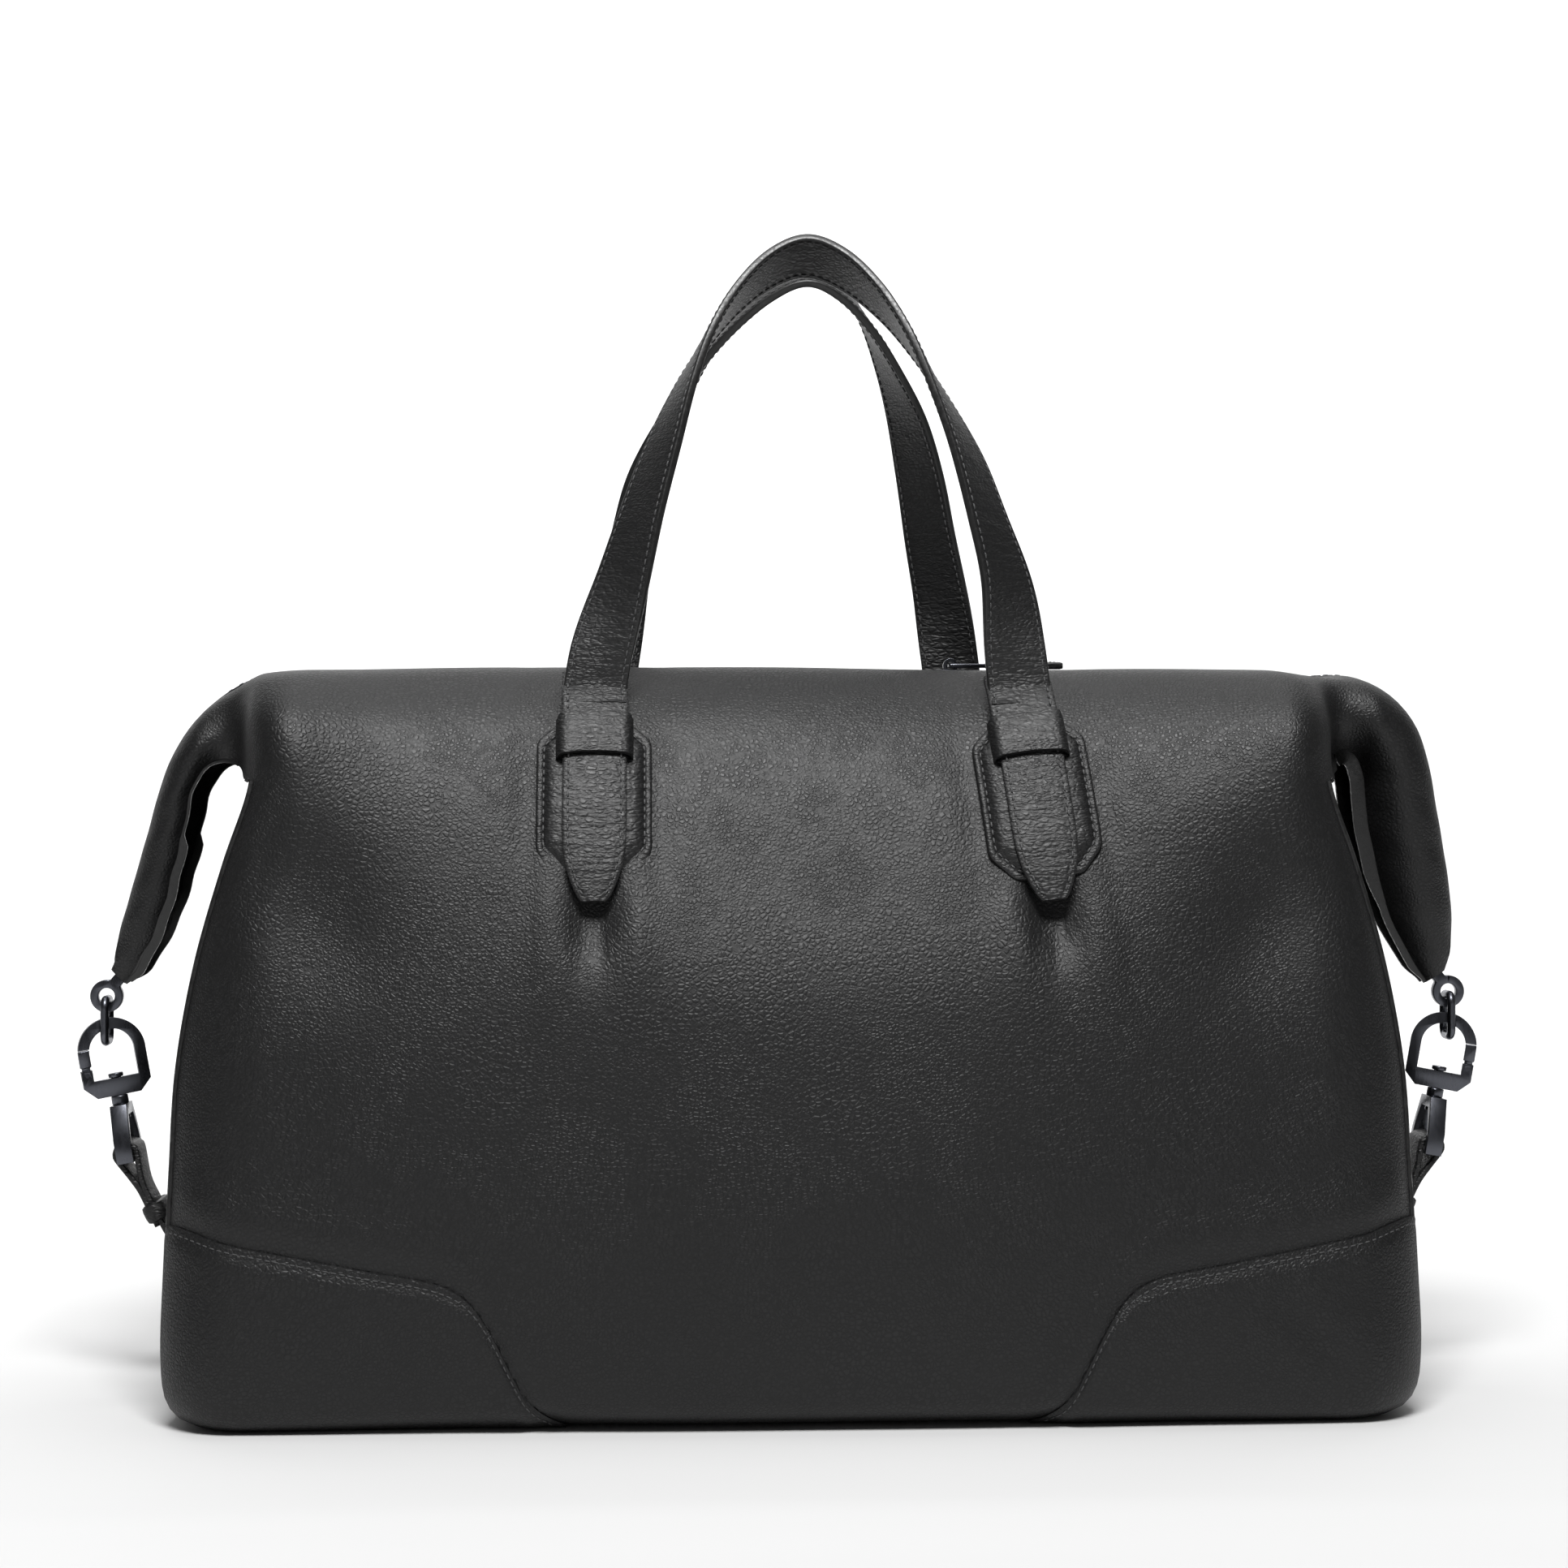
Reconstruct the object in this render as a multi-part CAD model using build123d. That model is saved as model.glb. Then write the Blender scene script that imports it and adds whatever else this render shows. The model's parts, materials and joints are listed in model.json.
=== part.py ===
"""A soft travel holdall in grained leather.

A full-width zipped mouth, whose two ends fold down outside the bag as wings. A link, a sprung
carabiner, a swivelling stirrup and a leather strap clip each wing to the gusset below it. Two flat
twisted strap handles are sewn on to padded patches, and overlays reinforce the four base corners.

Millimetres. +X is the bag's right side, +Z is up, and the front faces -Y. The origin is the centre of
the base, on the surface that the bag stands on. The right-hand and front pieces are drawn, and the
left-hand and back ones are their mirror images.
"""

import os
from math import cos, radians, sin

from build123d import *

# Body
LEATHER = 2.4
REACH = 340.0
DEPTH_PROFILE = [(120, 0), (123, 80), (104, 205), (80, 265), (46, 300), (28, 308), (14, 304)]
DEPTH_RADII = [28, 300, 200, 100, 26, 14]
LENGTH_OUTLINE = [(253, 0), (254, 95), (243, 180), (224, 250), (221, 294), (209, 314)]
LENGTH_RADII = [45, 400, 300, 200, 14]
BASE_HALF = (205.0, 90.0)
MOUTH_HALF = 14.0
LINING_TOP = 262.0
LINING_END = 206.0
WING_TUNNEL = (49.0, 20.5)
LINING_GAP = 0.3
LINING = 1.0
BOARD = 3.0
BOARD_MARGIN = (4.0, 3.0)

# Corner overlays
OVERLAY = 1.6
OVERLAY_TOP = [(260, 81), (141, 60), (119, 32), (106, 9), (92, 3), (260, 3)]
OVERLAY_RADII = [24, 40, 14, 0.5]

# Zip
ZIP_HALF = 212.0
CHAIN_HALF = 3.0
TAPE = 1.4
TAPE_Z = 301.8
TOOTH_PITCH = 4.0
TOOTH_RISE = 0.9
SLIDER = (13.0, 10.0, 4.0)
SLIDER_X = 72.0
SKIRT = (1.2, 0.8)
BRIDGE = (3.2, 1.7, 3.0)
PULL_WIRE = 1.6
PULL_RING = (19.0, 8.0)
PULL_TAB = (34.0, 12.0, 3.2)
FREE_GAP = 0.4

# Handles
# The back handle stands a little narrower than the front one. Each is drawn facing the front.
LEG_X = {"front": 88.0, "back": 79.0}
HANDLE_SHIFT = {"front": 6.0, "back": -1.0}
LEANS = {"left": 0.0, "right": 6.0}
PATCH = 4.5
PATCH_HALF = (23.5, 32.5)
PATCH_Z = 251.5
PATCH_CHAMFER = (12.0, 10.0)
TAB = 3.0
TAB_HALF = 13.0
TAB_TOP = 296.0
TAB_TAPER = 230.0
TAB_TIP = (5.2, 208.5)
KEEPER = 2.4
KEEPER_HALF = 15.8
KEEPER_Z = (266.0, 281.0)
STRAP = (27.0, 3.2)
STRAP_FOOT = (-58.3, 299.0)
ARCH_TILT = 30.0
# One leg's centre line from its foot to the crown: X as a share of the foot's, Y, Z, and the turn of
# the strap about it.
LEG = [
    (1.0, -58.3, 299.0, 0),
    (0.975, -58.0, 313.0, 4),
    (0.91, -56.5, 341.0, 22),
    (0.825, -54.0, 368.0, 40),
    (0.73, -50.0, 395.0, 54),
    (0.615, -45.0, 421.0, 66),
    (0.495, -38.5, 443.0, 75),
    (0.355, -31.0, 461.5, 82),
    (0.185, -24.5, 476.0, 87),
    (0.0, -22.0, 482.5, 90),
]

# Wings
# Centre line of the wing in the X-Z plane, its slope, half thickness and half depth.
WING = [
    (225.5, 281.0, 0, 18.0, 46.0),
    (241.0, 277.5, -22, 13.5, 44.0),
    (256.0, 261.0, -62, 9.5, 40.0),
    (262.5, 234.0, -80, 11.0, 33.0),
    (269.5, 204.0, -70, 11.5, 25.0),
    (279.0, 184.0, -56, 8.5, 16.0),
    (286.0, 175.0, -50, 4.0, 8.0),
]
WING_SKIN = (0.62, 0.82)
WING_ZIP_HALF = 5.0

# Eyelet and link
EYELET = (291.5, 166.0)
EYELET_OUTER = 7.0
EYELET_HOLE = 3.5
EYELET_HALF = 2.0
EYELET_SHANK = (9.0, 5.0)
LINK_WIRE = 1.8
LINK_HALF = 6.3
LINK_TOP = 164.6
LINK_FOOT = 146.6
LINK_CORNER = 3.5

# Side strap and clip
ANCHOR = 3.0
ANCHOR_HALF = 13.0
ANCHOR_Z = (22.0, 50.0)
STRAP_HINGE = (259.0, 53.0)
BAR = (282.0, 99.0)
BAR_RADIUS = 2.6
SIDE_HALF = 10.0
SIDE_PLY = 2.6
SIDE_NECK = 16.0
SIDE_LAP = 32.0
SIDE_KEEPER = (2.0, 8.0)
CLIP_TILT = 10.0
CLIP_YAW = 15.0
STIRRUP_HALF = 3.5
STIRRUP_OUTER = [(14, -3.4), (14, 6), (8, 21)]
STIRRUP_WINDOW = [(10.4, -4), (10.4, 7), (5.5, 16.5)]
POST_RADIUS = 2.0
POST_HEAD = 3.2
POST_COLLAR = 3.6
POST_CAP = 1.8
RING_HALF = 14.25
RING_HOLE = 9.5
RING_Z = (25.0, 32.5, 44.25)
RING_THICK = 5.0
RING_CHAMFER = 5.0
GATE_Z = (33.4, 37.6, 46.5)
GATE_PIVOT = (11.9, 35.6)
GATE_SHOULDER = 1.4
TONGUE = 2.8
KNUCKLE = 1.8
PIN_RADIUS = 1.0

parts = {}


def half_space(axis, low, high):
    """A slab between two heights on one axis, wide enough to cross the whole bag."""
    size = [2 * REACH] * 3
    place = [0.0, 0.0, 0.0]
    size[axis] = high - low
    place[axis] = (high + low) / 2
    return Pos(*place) * Box(*size)


def filleted(points, radii):
    """A closed face from an open chain with rounded inner corners, closed by a straight line."""
    chain = FilletPolyline(*points, radius=radii)
    return make_face(Wire([*chain.edges(), Line(points[-1], points[0]).edge()]))


def symmetric(points, radii):
    """A closed face from one half of an outline, the other half being its reflection."""
    other = [(-x, z) for x, z in reversed(points)]
    return filleted(other + points, radii[::-1] + radii)


DEPTH_FACE = symmetric(DEPTH_PROFILE, DEPTH_RADII)
LENGTH_FACE = symmetric(LENGTH_OUTLINE, LENGTH_RADII)


def across_depth(grow=0.0):
    """The bag's cross-section, offset outward and swept along its length."""
    face = offset(DEPTH_FACE, grow) if grow else DEPTH_FACE
    return extrude(Plane.YZ * face, REACH, both=True)


def across_length(grow=0.0):
    """The bag's front outline, offset outward and swept through its depth."""
    face = offset(LENGTH_FACE, grow) if grow else LENGTH_FACE
    return extrude(Plane.XZ * face, REACH, both=True)


def through(face):
    """A front-view face, swept through the front half of the bag."""
    return extrude(Plane.XZ * face, REACH)


def layer(low, high):
    """A sheet that follows the front panel, between two heights above it."""
    return across_depth(high) - across_depth(low)


def keep(name, solid):
    """Files one solid under its node name."""
    parts[name] = solid


def keep_sides(stem, solid):
    """A right-hand piece and its left-hand reflection."""
    keep(stem + "_right", solid)
    keep(stem + "_left", mirror(solid, about=Plane.YZ))


def keep_faces(stem, solid, suffix=""):
    """A front piece and its reflection at the back."""
    keep(f"{stem}_front{suffix}", solid)
    keep(f"{stem}_back{suffix}", mirror(solid, about=Plane.XZ))


FRONT = half_space(1, -REACH, 0)
RIGHT = half_space(0, 0, REACH)


def shell():
    """Panels, gussets and base: one skin of leather, cut where the pieces are sewn together."""
    flat_x, flat_y = BASE_HALF
    inner_length = across_length(-LEATHER)
    skin = across_depth() - across_depth(-LEATHER)
    foot = half_space(2, -LEATHER, LEATHER)
    base = foot & half_space(0, -flat_x, flat_x) & half_space(1, -flat_y, flat_y)
    tunnel = extrude(Plane.YZ * Pos(0, WING[0][1]) * Ellipse(*WING_TUNNEL), REACH, both=True)
    end = (across_length() - inner_length) & across_depth()
    gusset = (end & half_space(0, flat_x, REACH)) - tunnel
    sole = half_space(2, 0, 2 * LEATHER) & half_space(0, -flat_x, flat_x)
    panel = skin & (inner_length + sole) & half_space(1, -REACH, -MOUTH_HALF) - base
    keep_faces("panel", panel)
    keep_sides("gusset", gusset)
    keep("base_panel", base & across_depth())


def inside():
    """The lining hangs just inside the leather, with the stiffening board lying on its floor."""
    gap = -LEATHER - LINING_GAP
    outer = across_depth(gap) & across_length(gap)
    inner = across_depth(gap - LINING) & across_length(gap - LINING)
    mouth = half_space(1, -MOUTH_HALF, MOUTH_HALF) & half_space(2, LINING_TOP, REACH)
    ends = half_space(2, LINING_TOP, REACH) - half_space(0, -LINING_END, LINING_END)
    keep("lining", outer - inner - mouth - ends)
    floor = LEATHER + 2 * LINING_GAP + LINING
    half_x, half_y = (size - margin for size, margin in zip(BASE_HALF, BOARD_MARGIN))
    keep("base_board", Pos(0, 0, floor + BOARD / 2) * Box(2 * half_x, 2 * half_y, BOARD))


def overlays():
    """Four raised leather corners, sewn over the foot of each panel."""
    outline = filleted(OVERLAY_TOP, OVERLAY_RADII)
    front_right = layer(0, OVERLAY) & through(outline) & across_length(-0.4)
    for side, solid in (("_right", front_right), ("_left", mirror(front_right, about=Plane.YZ))):
        keep_faces("corner_overlay", solid, side)


def zip_row():
    """Two tapes and a toothed chain, flat along the straight part of the mouth."""
    tape_depth = MOUTH_HALF - CHAIN_HALF
    tape = Pos(0, -CHAIN_HALF - tape_depth / 2, TAPE_Z + TAPE / 2) * Box(2 * ZIP_HALF, tape_depth, TAPE)
    keep_faces("zip_tape", tape)
    chain = Pos(0, 0, TAPE_Z + TAPE / 2) * Box(2 * ZIP_HALF, 2 * CHAIN_HALF, TAPE)
    count = int(2 * ZIP_HALF / TOOTH_PITCH) - 1
    tooth = Box(TOOTH_PITCH / 2, 2 * CHAIN_HALF, 2 * TOOTH_RISE)
    rise = TAPE_Z + TAPE
    teeth = [Pos((n - (count - 1) / 2) * TOOTH_PITCH, 0, rise) * tooth for n in range(count)]
    keep("zip_chain", chain + teeth)


def slider():
    """The slider rides on the chain; its leather pull hangs from a wire ring and lies flat."""
    length, width, height = SLIDER
    deck = TAPE_Z + TAPE + TOOTH_RISE + FREE_GAP
    pivot = deck + height
    plate = Pos(SLIDER_X, 0, deck + height / 4) * Box(length, width, height / 2)
    outer, inner, bridge_width = BRIDGE
    lug = Cylinder(outer, bridge_width) - Cylinder(inner, bridge_width)
    bridge = (Pos(SLIDER_X, 0, pivot) * Rot(90, 0, 0) * lug) & half_space(2, deck, REACH)
    skirt_width, skirt_drop = SKIRT
    skirt_y = (width - skirt_width) / 2
    skirt = Box(length, skirt_width, skirt_drop)
    skirts = [Pos(SLIDER_X, side, deck - skirt_drop / 2) * skirt for side in (-skirt_y, skirt_y)]
    keep("zip_slider", plate + bridge + skirts)
    ring_long, ring_wide = PULL_RING
    far_bar = SLIDER_X + ring_long - PULL_WIRE
    window = Box(ring_long - 2 * PULL_WIRE, ring_wide - 2 * PULL_WIRE, 2 * PULL_WIRE)
    ring = Box(ring_long, ring_wide, PULL_WIRE) - window
    keep("zip_pull_ring", Pos((SLIDER_X + far_bar) / 2, 0, pivot) * ring)
    tab_long, tab_wide, tab_thick = PULL_TAB
    tab = Pos(far_bar - 2.0 + tab_long / 2, 0, pivot) * Box(tab_long, tab_wide, tab_thick)
    slot = Pos(far_bar - 0.5, 0, pivot) * Box(4.0, ring_wide + FREE_GAP, PULL_WIRE + FREE_GAP)
    keep("zip_pull_tab", tab - slot)


def octagon(half_x, half_z, chamfer):
    """A rectangle with its four corners cut off."""
    cut_x, cut_z = chamfer
    quarter = [(half_x - cut_x, half_z), (half_x, half_z - cut_z)]
    right = quarter + [(x, -z) for x, z in reversed(quarter)]
    return make_face(Polyline(*right, *[(-x, z) for x, z in reversed(right)], close=True))


def tab_outline():
    """The strap's sewn end: straight sides tapering to a blunt point."""
    tip_x, tip_z = TAB_TIP
    right = [(TAB_HALF, TAB_TOP), (TAB_HALF, TAB_TAPER), (tip_x, tip_z)]
    return make_face(Polyline(*right, *[(-x, z) for x, z in reversed(right)], close=True))


def mount(outline, lean, x):
    """Turns an outline about the strap's foot and carries it along to its leg."""
    foot_z = STRAP_FOOT[1]
    return Pos(x, foot_z) * Rot(0, 0, lean) * Pos(0, -foot_z) * outline


def attachments():
    """Patch, sewn tab and keeper at the foot of each handle leg."""
    below_foot = half_space(2, 0, TAB_TOP)
    low, high = KEEPER_Z
    band = Pos(0, (low + high) / 2) * Rectangle(2 * KEEPER_HALF, high - low)
    patch_sheet = layer(0, PATCH) & FRONT
    tab_sheet = layer(PATCH, PATCH + TAB) & FRONT & below_foot
    keeper_sheet = layer(PATCH, PATCH + TAB + KEEPER) & FRONT
    for face in ("front", "back"):
        for side, sign in (("left", -1), ("right", 1)):
            x = sign * LEG_X[face] + HANDLE_SHIFT[face]
            lean = LEANS[side]
            patch = Pos(0, PATCH_Z) * octagon(*PATCH_HALF, PATCH_CHAMFER)
            tab = through(mount(tab_outline(), lean, x))
            pieces = {
                "handle_patch": patch_sheet & through(mount(patch, lean, x)),
                "handle_tab": tab_sheet & tab,
                "handle_keeper": (keeper_sheet & through(mount(band, lean, x))) - (tab_sheet & tab),
            }
            for stem, solid in pieces.items():
                keep(f"{stem}_{face}_{on_face(side, face)}", carried(solid, face))


def on_face(side, face):
    """The bag's own side for a piece drawn on the front, once it is carried to a face."""
    other = {"left": "right", "right": "left"}
    return side if face == "front" else other[side]


def carried(solid, face):
    """Half a turn about the upright axis for the back, and nothing for the front."""
    if face == "front":
        return solid
    return mirror(mirror(solid, about=Plane.XZ), about=Plane.YZ)


def strap_sections(leg_x, shift):
    """Rectangles across the strap from the right foot, over the crown, to the left foot."""
    half = [(Vector(share * leg_x, y, z), radians(turn)) for share, y, z, turn in LEG]
    left = [(Vector(-p.X, p.Y, p.Z), radians(180) - turn) for p, turn in reversed(half[:-1])]
    line = half + left
    sections = []
    for n, (point, turn) in enumerate(line):
        before = line[max(n - 1, 0)][0]
        after = line[min(n + 1, len(line) - 1)][0]
        along = (after - before).normalized()
        if n in (0, len(line) - 1):
            along = Vector(0, 0, 1 if n == 0 else -1)
        tilt = radians(ARCH_TILT) * sin(turn) ** 2
        wide = Vector(cos(turn), sin(turn) * cos(tilt), -sin(turn) * sin(tilt))
        across = wide - along * wide.dot(along)
        origin = point + Vector(shift, 0, 0)
        sections.append(Plane(origin=origin, x_dir=across, z_dir=along) * Rectangle(*STRAP))
    return sections


def handles():
    """Each handle is one flat strap, face-on at its feet and edge-on over the crown."""
    for face in ("front", "back"):
        strap = loft(strap_sections(LEG_X[face], HANDLE_SHIFT[face]))
        keep(f"handle_strap_{face}", carried(strap, face))


def tube(scale_across=1.0, scale_deep=1.0):
    """The wing's closed shape, or a smaller one inside it."""
    sections = []
    for x, z, slope, across, deep in WING:
        along = Vector(cos(radians(slope)), 0, sin(radians(slope)))
        plane = Plane(origin=(x, 0, z), x_dir=(0, 1, 0), z_dir=along)
        sections.append(plane * Ellipse(deep * scale_deep, across * scale_across))
    return loft(sections)


def wings():
    """The folded-down mouth end: two leather faces, the zip between them and the tucked gusset."""
    outer = tube()
    core = tube(*WING_SKIN)
    skin = outer - core
    middle = skin & half_space(1, -WING_ZIP_HALF, WING_ZIP_HALF)
    strips = middle.solids().sort_by(lambda s: s.center().X + s.center().Z)
    face = skin & half_space(1, -REACH, -WING_ZIP_HALF)
    for name, solid in (("wing_face_front", face), ("wing_face_back", mirror(face, about=Plane.XZ))):
        keep_sides(name, solid)
    keep_sides("wing_zip", strips[-1])
    keep_sides("wing_gusset", core + strips[0])


def eyelets():
    """A metal eye clamped to the tip of the wing, with its hole facing the front."""
    x, z = EYELET
    tip_x, tip_z, slope = WING[-1][:3]
    turned = Rot(90, 0, 0)
    eye = Pos(x, 0, z) * turned * Cylinder(EYELET_OUTER, 2 * EYELET_HALF)
    hole = Pos(x, 0, z) * turned * Cylinder(EYELET_HOLE, REACH)
    shank = Box(EYELET_SHANK[0], 2 * EYELET_HALF, EYELET_SHANK[1])
    shank = Pos((x + tip_x) / 2, 0, (z + tip_z) / 2) * Rot(0, -slope, 0) * shank
    keep_sides("eyelet", eye + shank - hole - tube())


def links():
    """A squared loop of round wire, hanging in the eyelet and passing under the carabiner's bow."""
    side = LINK_HALF
    middle = (LINK_TOP + LINK_FOOT) / 2
    height = LINK_TOP - LINK_FOOT
    path = Plane(origin=(EYELET[0], 0, middle), x_dir=(0, 1, 0), z_dir=(1, 0, 0)) * RectangleRounded(
        2 * side, height, LINK_CORNER
    )
    start = Plane(origin=(EYELET[0], side, middle), x_dir=(1, 0, 0), z_dir=(0, 0, 1))
    keep_sides("link", sweep(start * Circle(LINK_WIRE), path=path.wire()))


def clip_frame():
    """The stirrup's own frame: origin on its bar, Z along the clip, X outward from the bag."""
    return Pos(BAR[0], 0, BAR[1]) * Rot(0, CLIP_TILT, 0)


def side_straps():
    """A sewn anchor, and a strap folded round the stirrup's bar with its end under a keeper."""
    band = across_length(ANCHOR) - across_length(0)
    zone = half_space(2, *ANCHOR_Z) & half_space(1, -ANCHOR_HALF, ANCHOR_HALF) & RIGHT
    keep_sides("side_anchor", band & zone)
    hinge_x, hinge_z = STRAP_HINGE
    run = Vector(BAR[0] - hinge_x, BAR[1] - hinge_z)
    eye = BAR_RADIUS + FREE_GAP
    outer = eye + SIDE_PLY
    taper = [(-outer, 0), (outer, 0), (SIDE_PLY, -SIDE_NECK), (-SIDE_PLY, -SIDE_NECK)]
    lap = SIDE_LAP - SIDE_NECK
    tail = run.length - SIDE_LAP
    blade = Circle(outer) + make_face(Polyline(*taper, close=True))
    blade += Pos(0, -SIDE_NECK - lap / 2) * Rectangle(2 * SIDE_PLY, lap)
    blade += Pos(-SIDE_PLY / 2, -SIDE_LAP - tail / 2) * Rectangle(SIDE_PLY, tail)
    blade -= Circle(eye)
    lean = Vector(0, 1).get_angle(run)
    place = Pos(BAR[0], 0, BAR[1]) * Rot(0, lean, 0)
    keep_sides("side_strap", place * extrude(Plane.XZ * blade, SIDE_HALF, both=True))
    wall, tall = SIDE_KEEPER
    inner = Box(2 * SIDE_PLY, 2 * SIDE_HALF, 2 * tall)
    loop = Box(2 * (SIDE_PLY + wall), 2 * (SIDE_HALF + wall), tall) - inner
    keep_sides("side_keeper", place * Pos(0, 0, tall - SIDE_LAP) * loop)


def trapezoid(half):
    """A closed face from the right-hand half of its outline."""
    return make_face(Polyline(*half, *[(-v, w) for v, w in reversed(half)], close=True))


def stirrups():
    """A flat trapezoid shackle on the strap, with the riveted post that the carabiner turns on."""
    plate = Plane.YZ * (trapezoid(STIRRUP_OUTER) - trapezoid(STIRRUP_WINDOW))
    plate = extrude(plate, STIRRUP_HALF, both=True)
    bar = Rot(90, 0, 0) * Cylinder(BAR_RADIUS, 2 * STIRRUP_OUTER[0][0] - 4)
    bridge_low, bridge_high = STIRRUP_WINDOW[-1][1], STIRRUP_OUTER[-1][1]
    bore = Pos(0, 0, bridge_high) * Cylinder(POST_RADIUS, 2 * (bridge_high - bridge_low) + 2)
    keep_sides("stirrup", clip_frame() * (plate + bar - bore))
    collar_top = RING_Z[0] - 0.2
    cap_low = RING_Z[1] + 0.3
    head = stub(POST_HEAD, bridge_low - POST_CAP, bridge_low)
    shaft = stub(POST_RADIUS, bridge_low, cap_low + POST_CAP / 2)
    collar = stub(POST_COLLAR, bridge_high, collar_top)
    cap = stub(POST_HEAD, cap_low, cap_low + POST_CAP)
    keep_sides("swivel_post", clip_frame() * (head + shaft + collar + cap))


def stub(radius, low, high):
    """An upright round bar between two heights."""
    return Pos(0, 0, (low + high) / 2) * Cylinder(radius, high - low)


def stadium(half, low, crown):
    """An arch: a round top on straight sides and a flat foot."""
    return Pos(0, crown) * Circle(half) + Pos(0, (low + crown) / 2) * Rectangle(2 * half, crown - low)


def slab(face):
    """A face of the carabiner's outline, swept through its thickness."""
    return extrude(Plane.XZ * face, RING_THICK / 2, both=True)


def block(x, low, high, width, depth):
    """A box between two heights, centred on an X."""
    return Pos(x, 0, (low + high) / 2) * Box(width, depth, high - low)


def clips():
    """A D-shaped ring with a sprung gate in its outer side, turning on the stirrup's post."""
    place = clip_frame() * Rot(0, 0, -CLIP_YAW)
    low, floor, crown = RING_Z
    half, cut = RING_HALF, RING_CHAMFER
    corner = make_face(Polyline((half, low), (half - cut, low), (half, low + cut), close=True))
    ring_face = stadium(half, low, crown) - stadium(RING_HOLE, floor, crown)
    ring_face -= corner + mirror(corner, about=Plane.YZ)
    ring = slab(ring_face)
    gate_low, cheek_top, gate_high = GATE_Z
    gap = half - RING_HOLE + 2
    gap_x = RING_HOLE + gap / 2 - 0.5
    opening = block(gap_x, cheek_top, gate_high, gap, 2 * RING_THICK)
    slot = block(gap_x, gate_low, cheek_top, gap, TONGUE + FREE_GAP)
    pivot = Pos(GATE_PIVOT[0], 0, GATE_PIVOT[1]) * Rot(90, 0, 0)
    bore = stub(POST_RADIUS + 0.2, low - 1, floor + 1)
    pin_bore = pivot * Cylinder(PIN_RADIUS, 2 * RING_THICK)
    keep_sides("carabiner", place * (ring - bore - opening - slot - pin_bore))
    keep_sides("gate_pin", place * pivot * Cylinder(PIN_RADIUS, RING_THICK))
    shoulder = cheek_top + GATE_SHOULDER
    bar = ring & block(half, shoulder, gate_high - 0.3, 2 * half, 2 * RING_THICK)
    tongue = block(GATE_PIVOT[0], GATE_PIVOT[1], shoulder + 0.5, 2 * KNUCKLE, TONGUE)
    knuckle = pivot * Cylinder(KNUCKLE, TONGUE)
    clearance = pivot * Cylinder(PIN_RADIUS + 0.1, 2 * RING_THICK)
    keep_sides("gate", place * (bar + tongue + knuckle - clearance))


shell()
inside()
overlays()
zip_row()
slider()
attachments()
handles()
wings()
eyelets()
links()
side_straps()
stirrups()
clips()

os.makedirs("parts", exist_ok=True)
for node, solid in parts.items():
    solid.label = node
    export_step(solid, f"parts/{node}.step")
print(len(parts), "nodes")
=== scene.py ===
import json
import math

import bmesh
import bpy
import numpy as np
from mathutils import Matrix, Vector

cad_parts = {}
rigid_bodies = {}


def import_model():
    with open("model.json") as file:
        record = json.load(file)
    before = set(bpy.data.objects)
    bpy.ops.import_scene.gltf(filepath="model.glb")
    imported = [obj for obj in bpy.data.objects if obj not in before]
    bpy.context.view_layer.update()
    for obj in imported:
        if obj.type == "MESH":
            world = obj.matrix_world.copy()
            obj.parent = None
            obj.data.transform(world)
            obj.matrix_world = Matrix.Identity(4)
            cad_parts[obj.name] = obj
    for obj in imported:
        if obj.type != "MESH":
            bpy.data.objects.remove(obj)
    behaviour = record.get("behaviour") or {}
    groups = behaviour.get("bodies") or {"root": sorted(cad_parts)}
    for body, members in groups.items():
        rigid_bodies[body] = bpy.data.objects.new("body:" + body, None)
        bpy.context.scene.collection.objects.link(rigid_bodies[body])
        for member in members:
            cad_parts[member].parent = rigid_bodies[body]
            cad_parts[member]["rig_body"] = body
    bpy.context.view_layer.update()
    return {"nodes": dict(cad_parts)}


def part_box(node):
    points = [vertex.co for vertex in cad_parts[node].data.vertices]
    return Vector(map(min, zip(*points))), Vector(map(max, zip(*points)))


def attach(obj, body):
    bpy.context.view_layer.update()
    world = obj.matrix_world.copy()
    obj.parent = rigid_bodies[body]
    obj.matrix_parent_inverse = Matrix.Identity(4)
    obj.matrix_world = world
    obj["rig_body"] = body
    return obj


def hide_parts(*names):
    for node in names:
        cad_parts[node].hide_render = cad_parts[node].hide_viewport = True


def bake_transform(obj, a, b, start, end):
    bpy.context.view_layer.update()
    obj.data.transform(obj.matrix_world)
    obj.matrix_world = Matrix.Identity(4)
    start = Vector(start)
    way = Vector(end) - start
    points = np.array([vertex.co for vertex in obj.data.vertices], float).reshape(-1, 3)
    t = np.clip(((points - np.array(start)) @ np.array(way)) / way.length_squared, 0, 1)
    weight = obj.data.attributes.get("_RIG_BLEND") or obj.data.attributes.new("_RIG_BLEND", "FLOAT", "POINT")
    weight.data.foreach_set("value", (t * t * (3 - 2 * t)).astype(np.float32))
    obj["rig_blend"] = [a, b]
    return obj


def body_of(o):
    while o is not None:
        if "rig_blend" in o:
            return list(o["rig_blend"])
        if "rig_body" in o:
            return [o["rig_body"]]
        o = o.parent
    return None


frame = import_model()

# The looks of a soft leather travel holdall. Shapes are worked out in millimetres in the row's own
# frame and turned into metres as each mesh is made. The front and right-hand pieces are drawn; half a
# turn about the upright axis gives the back, and a reflection gives the left.

MM = 0.001
BODY = "bag_body"

# Half the length of the mouth's straight part, and the thickness of the leather, in millimetres
SHOULDER_X = 221.0
LEATHER = 2.0

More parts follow.
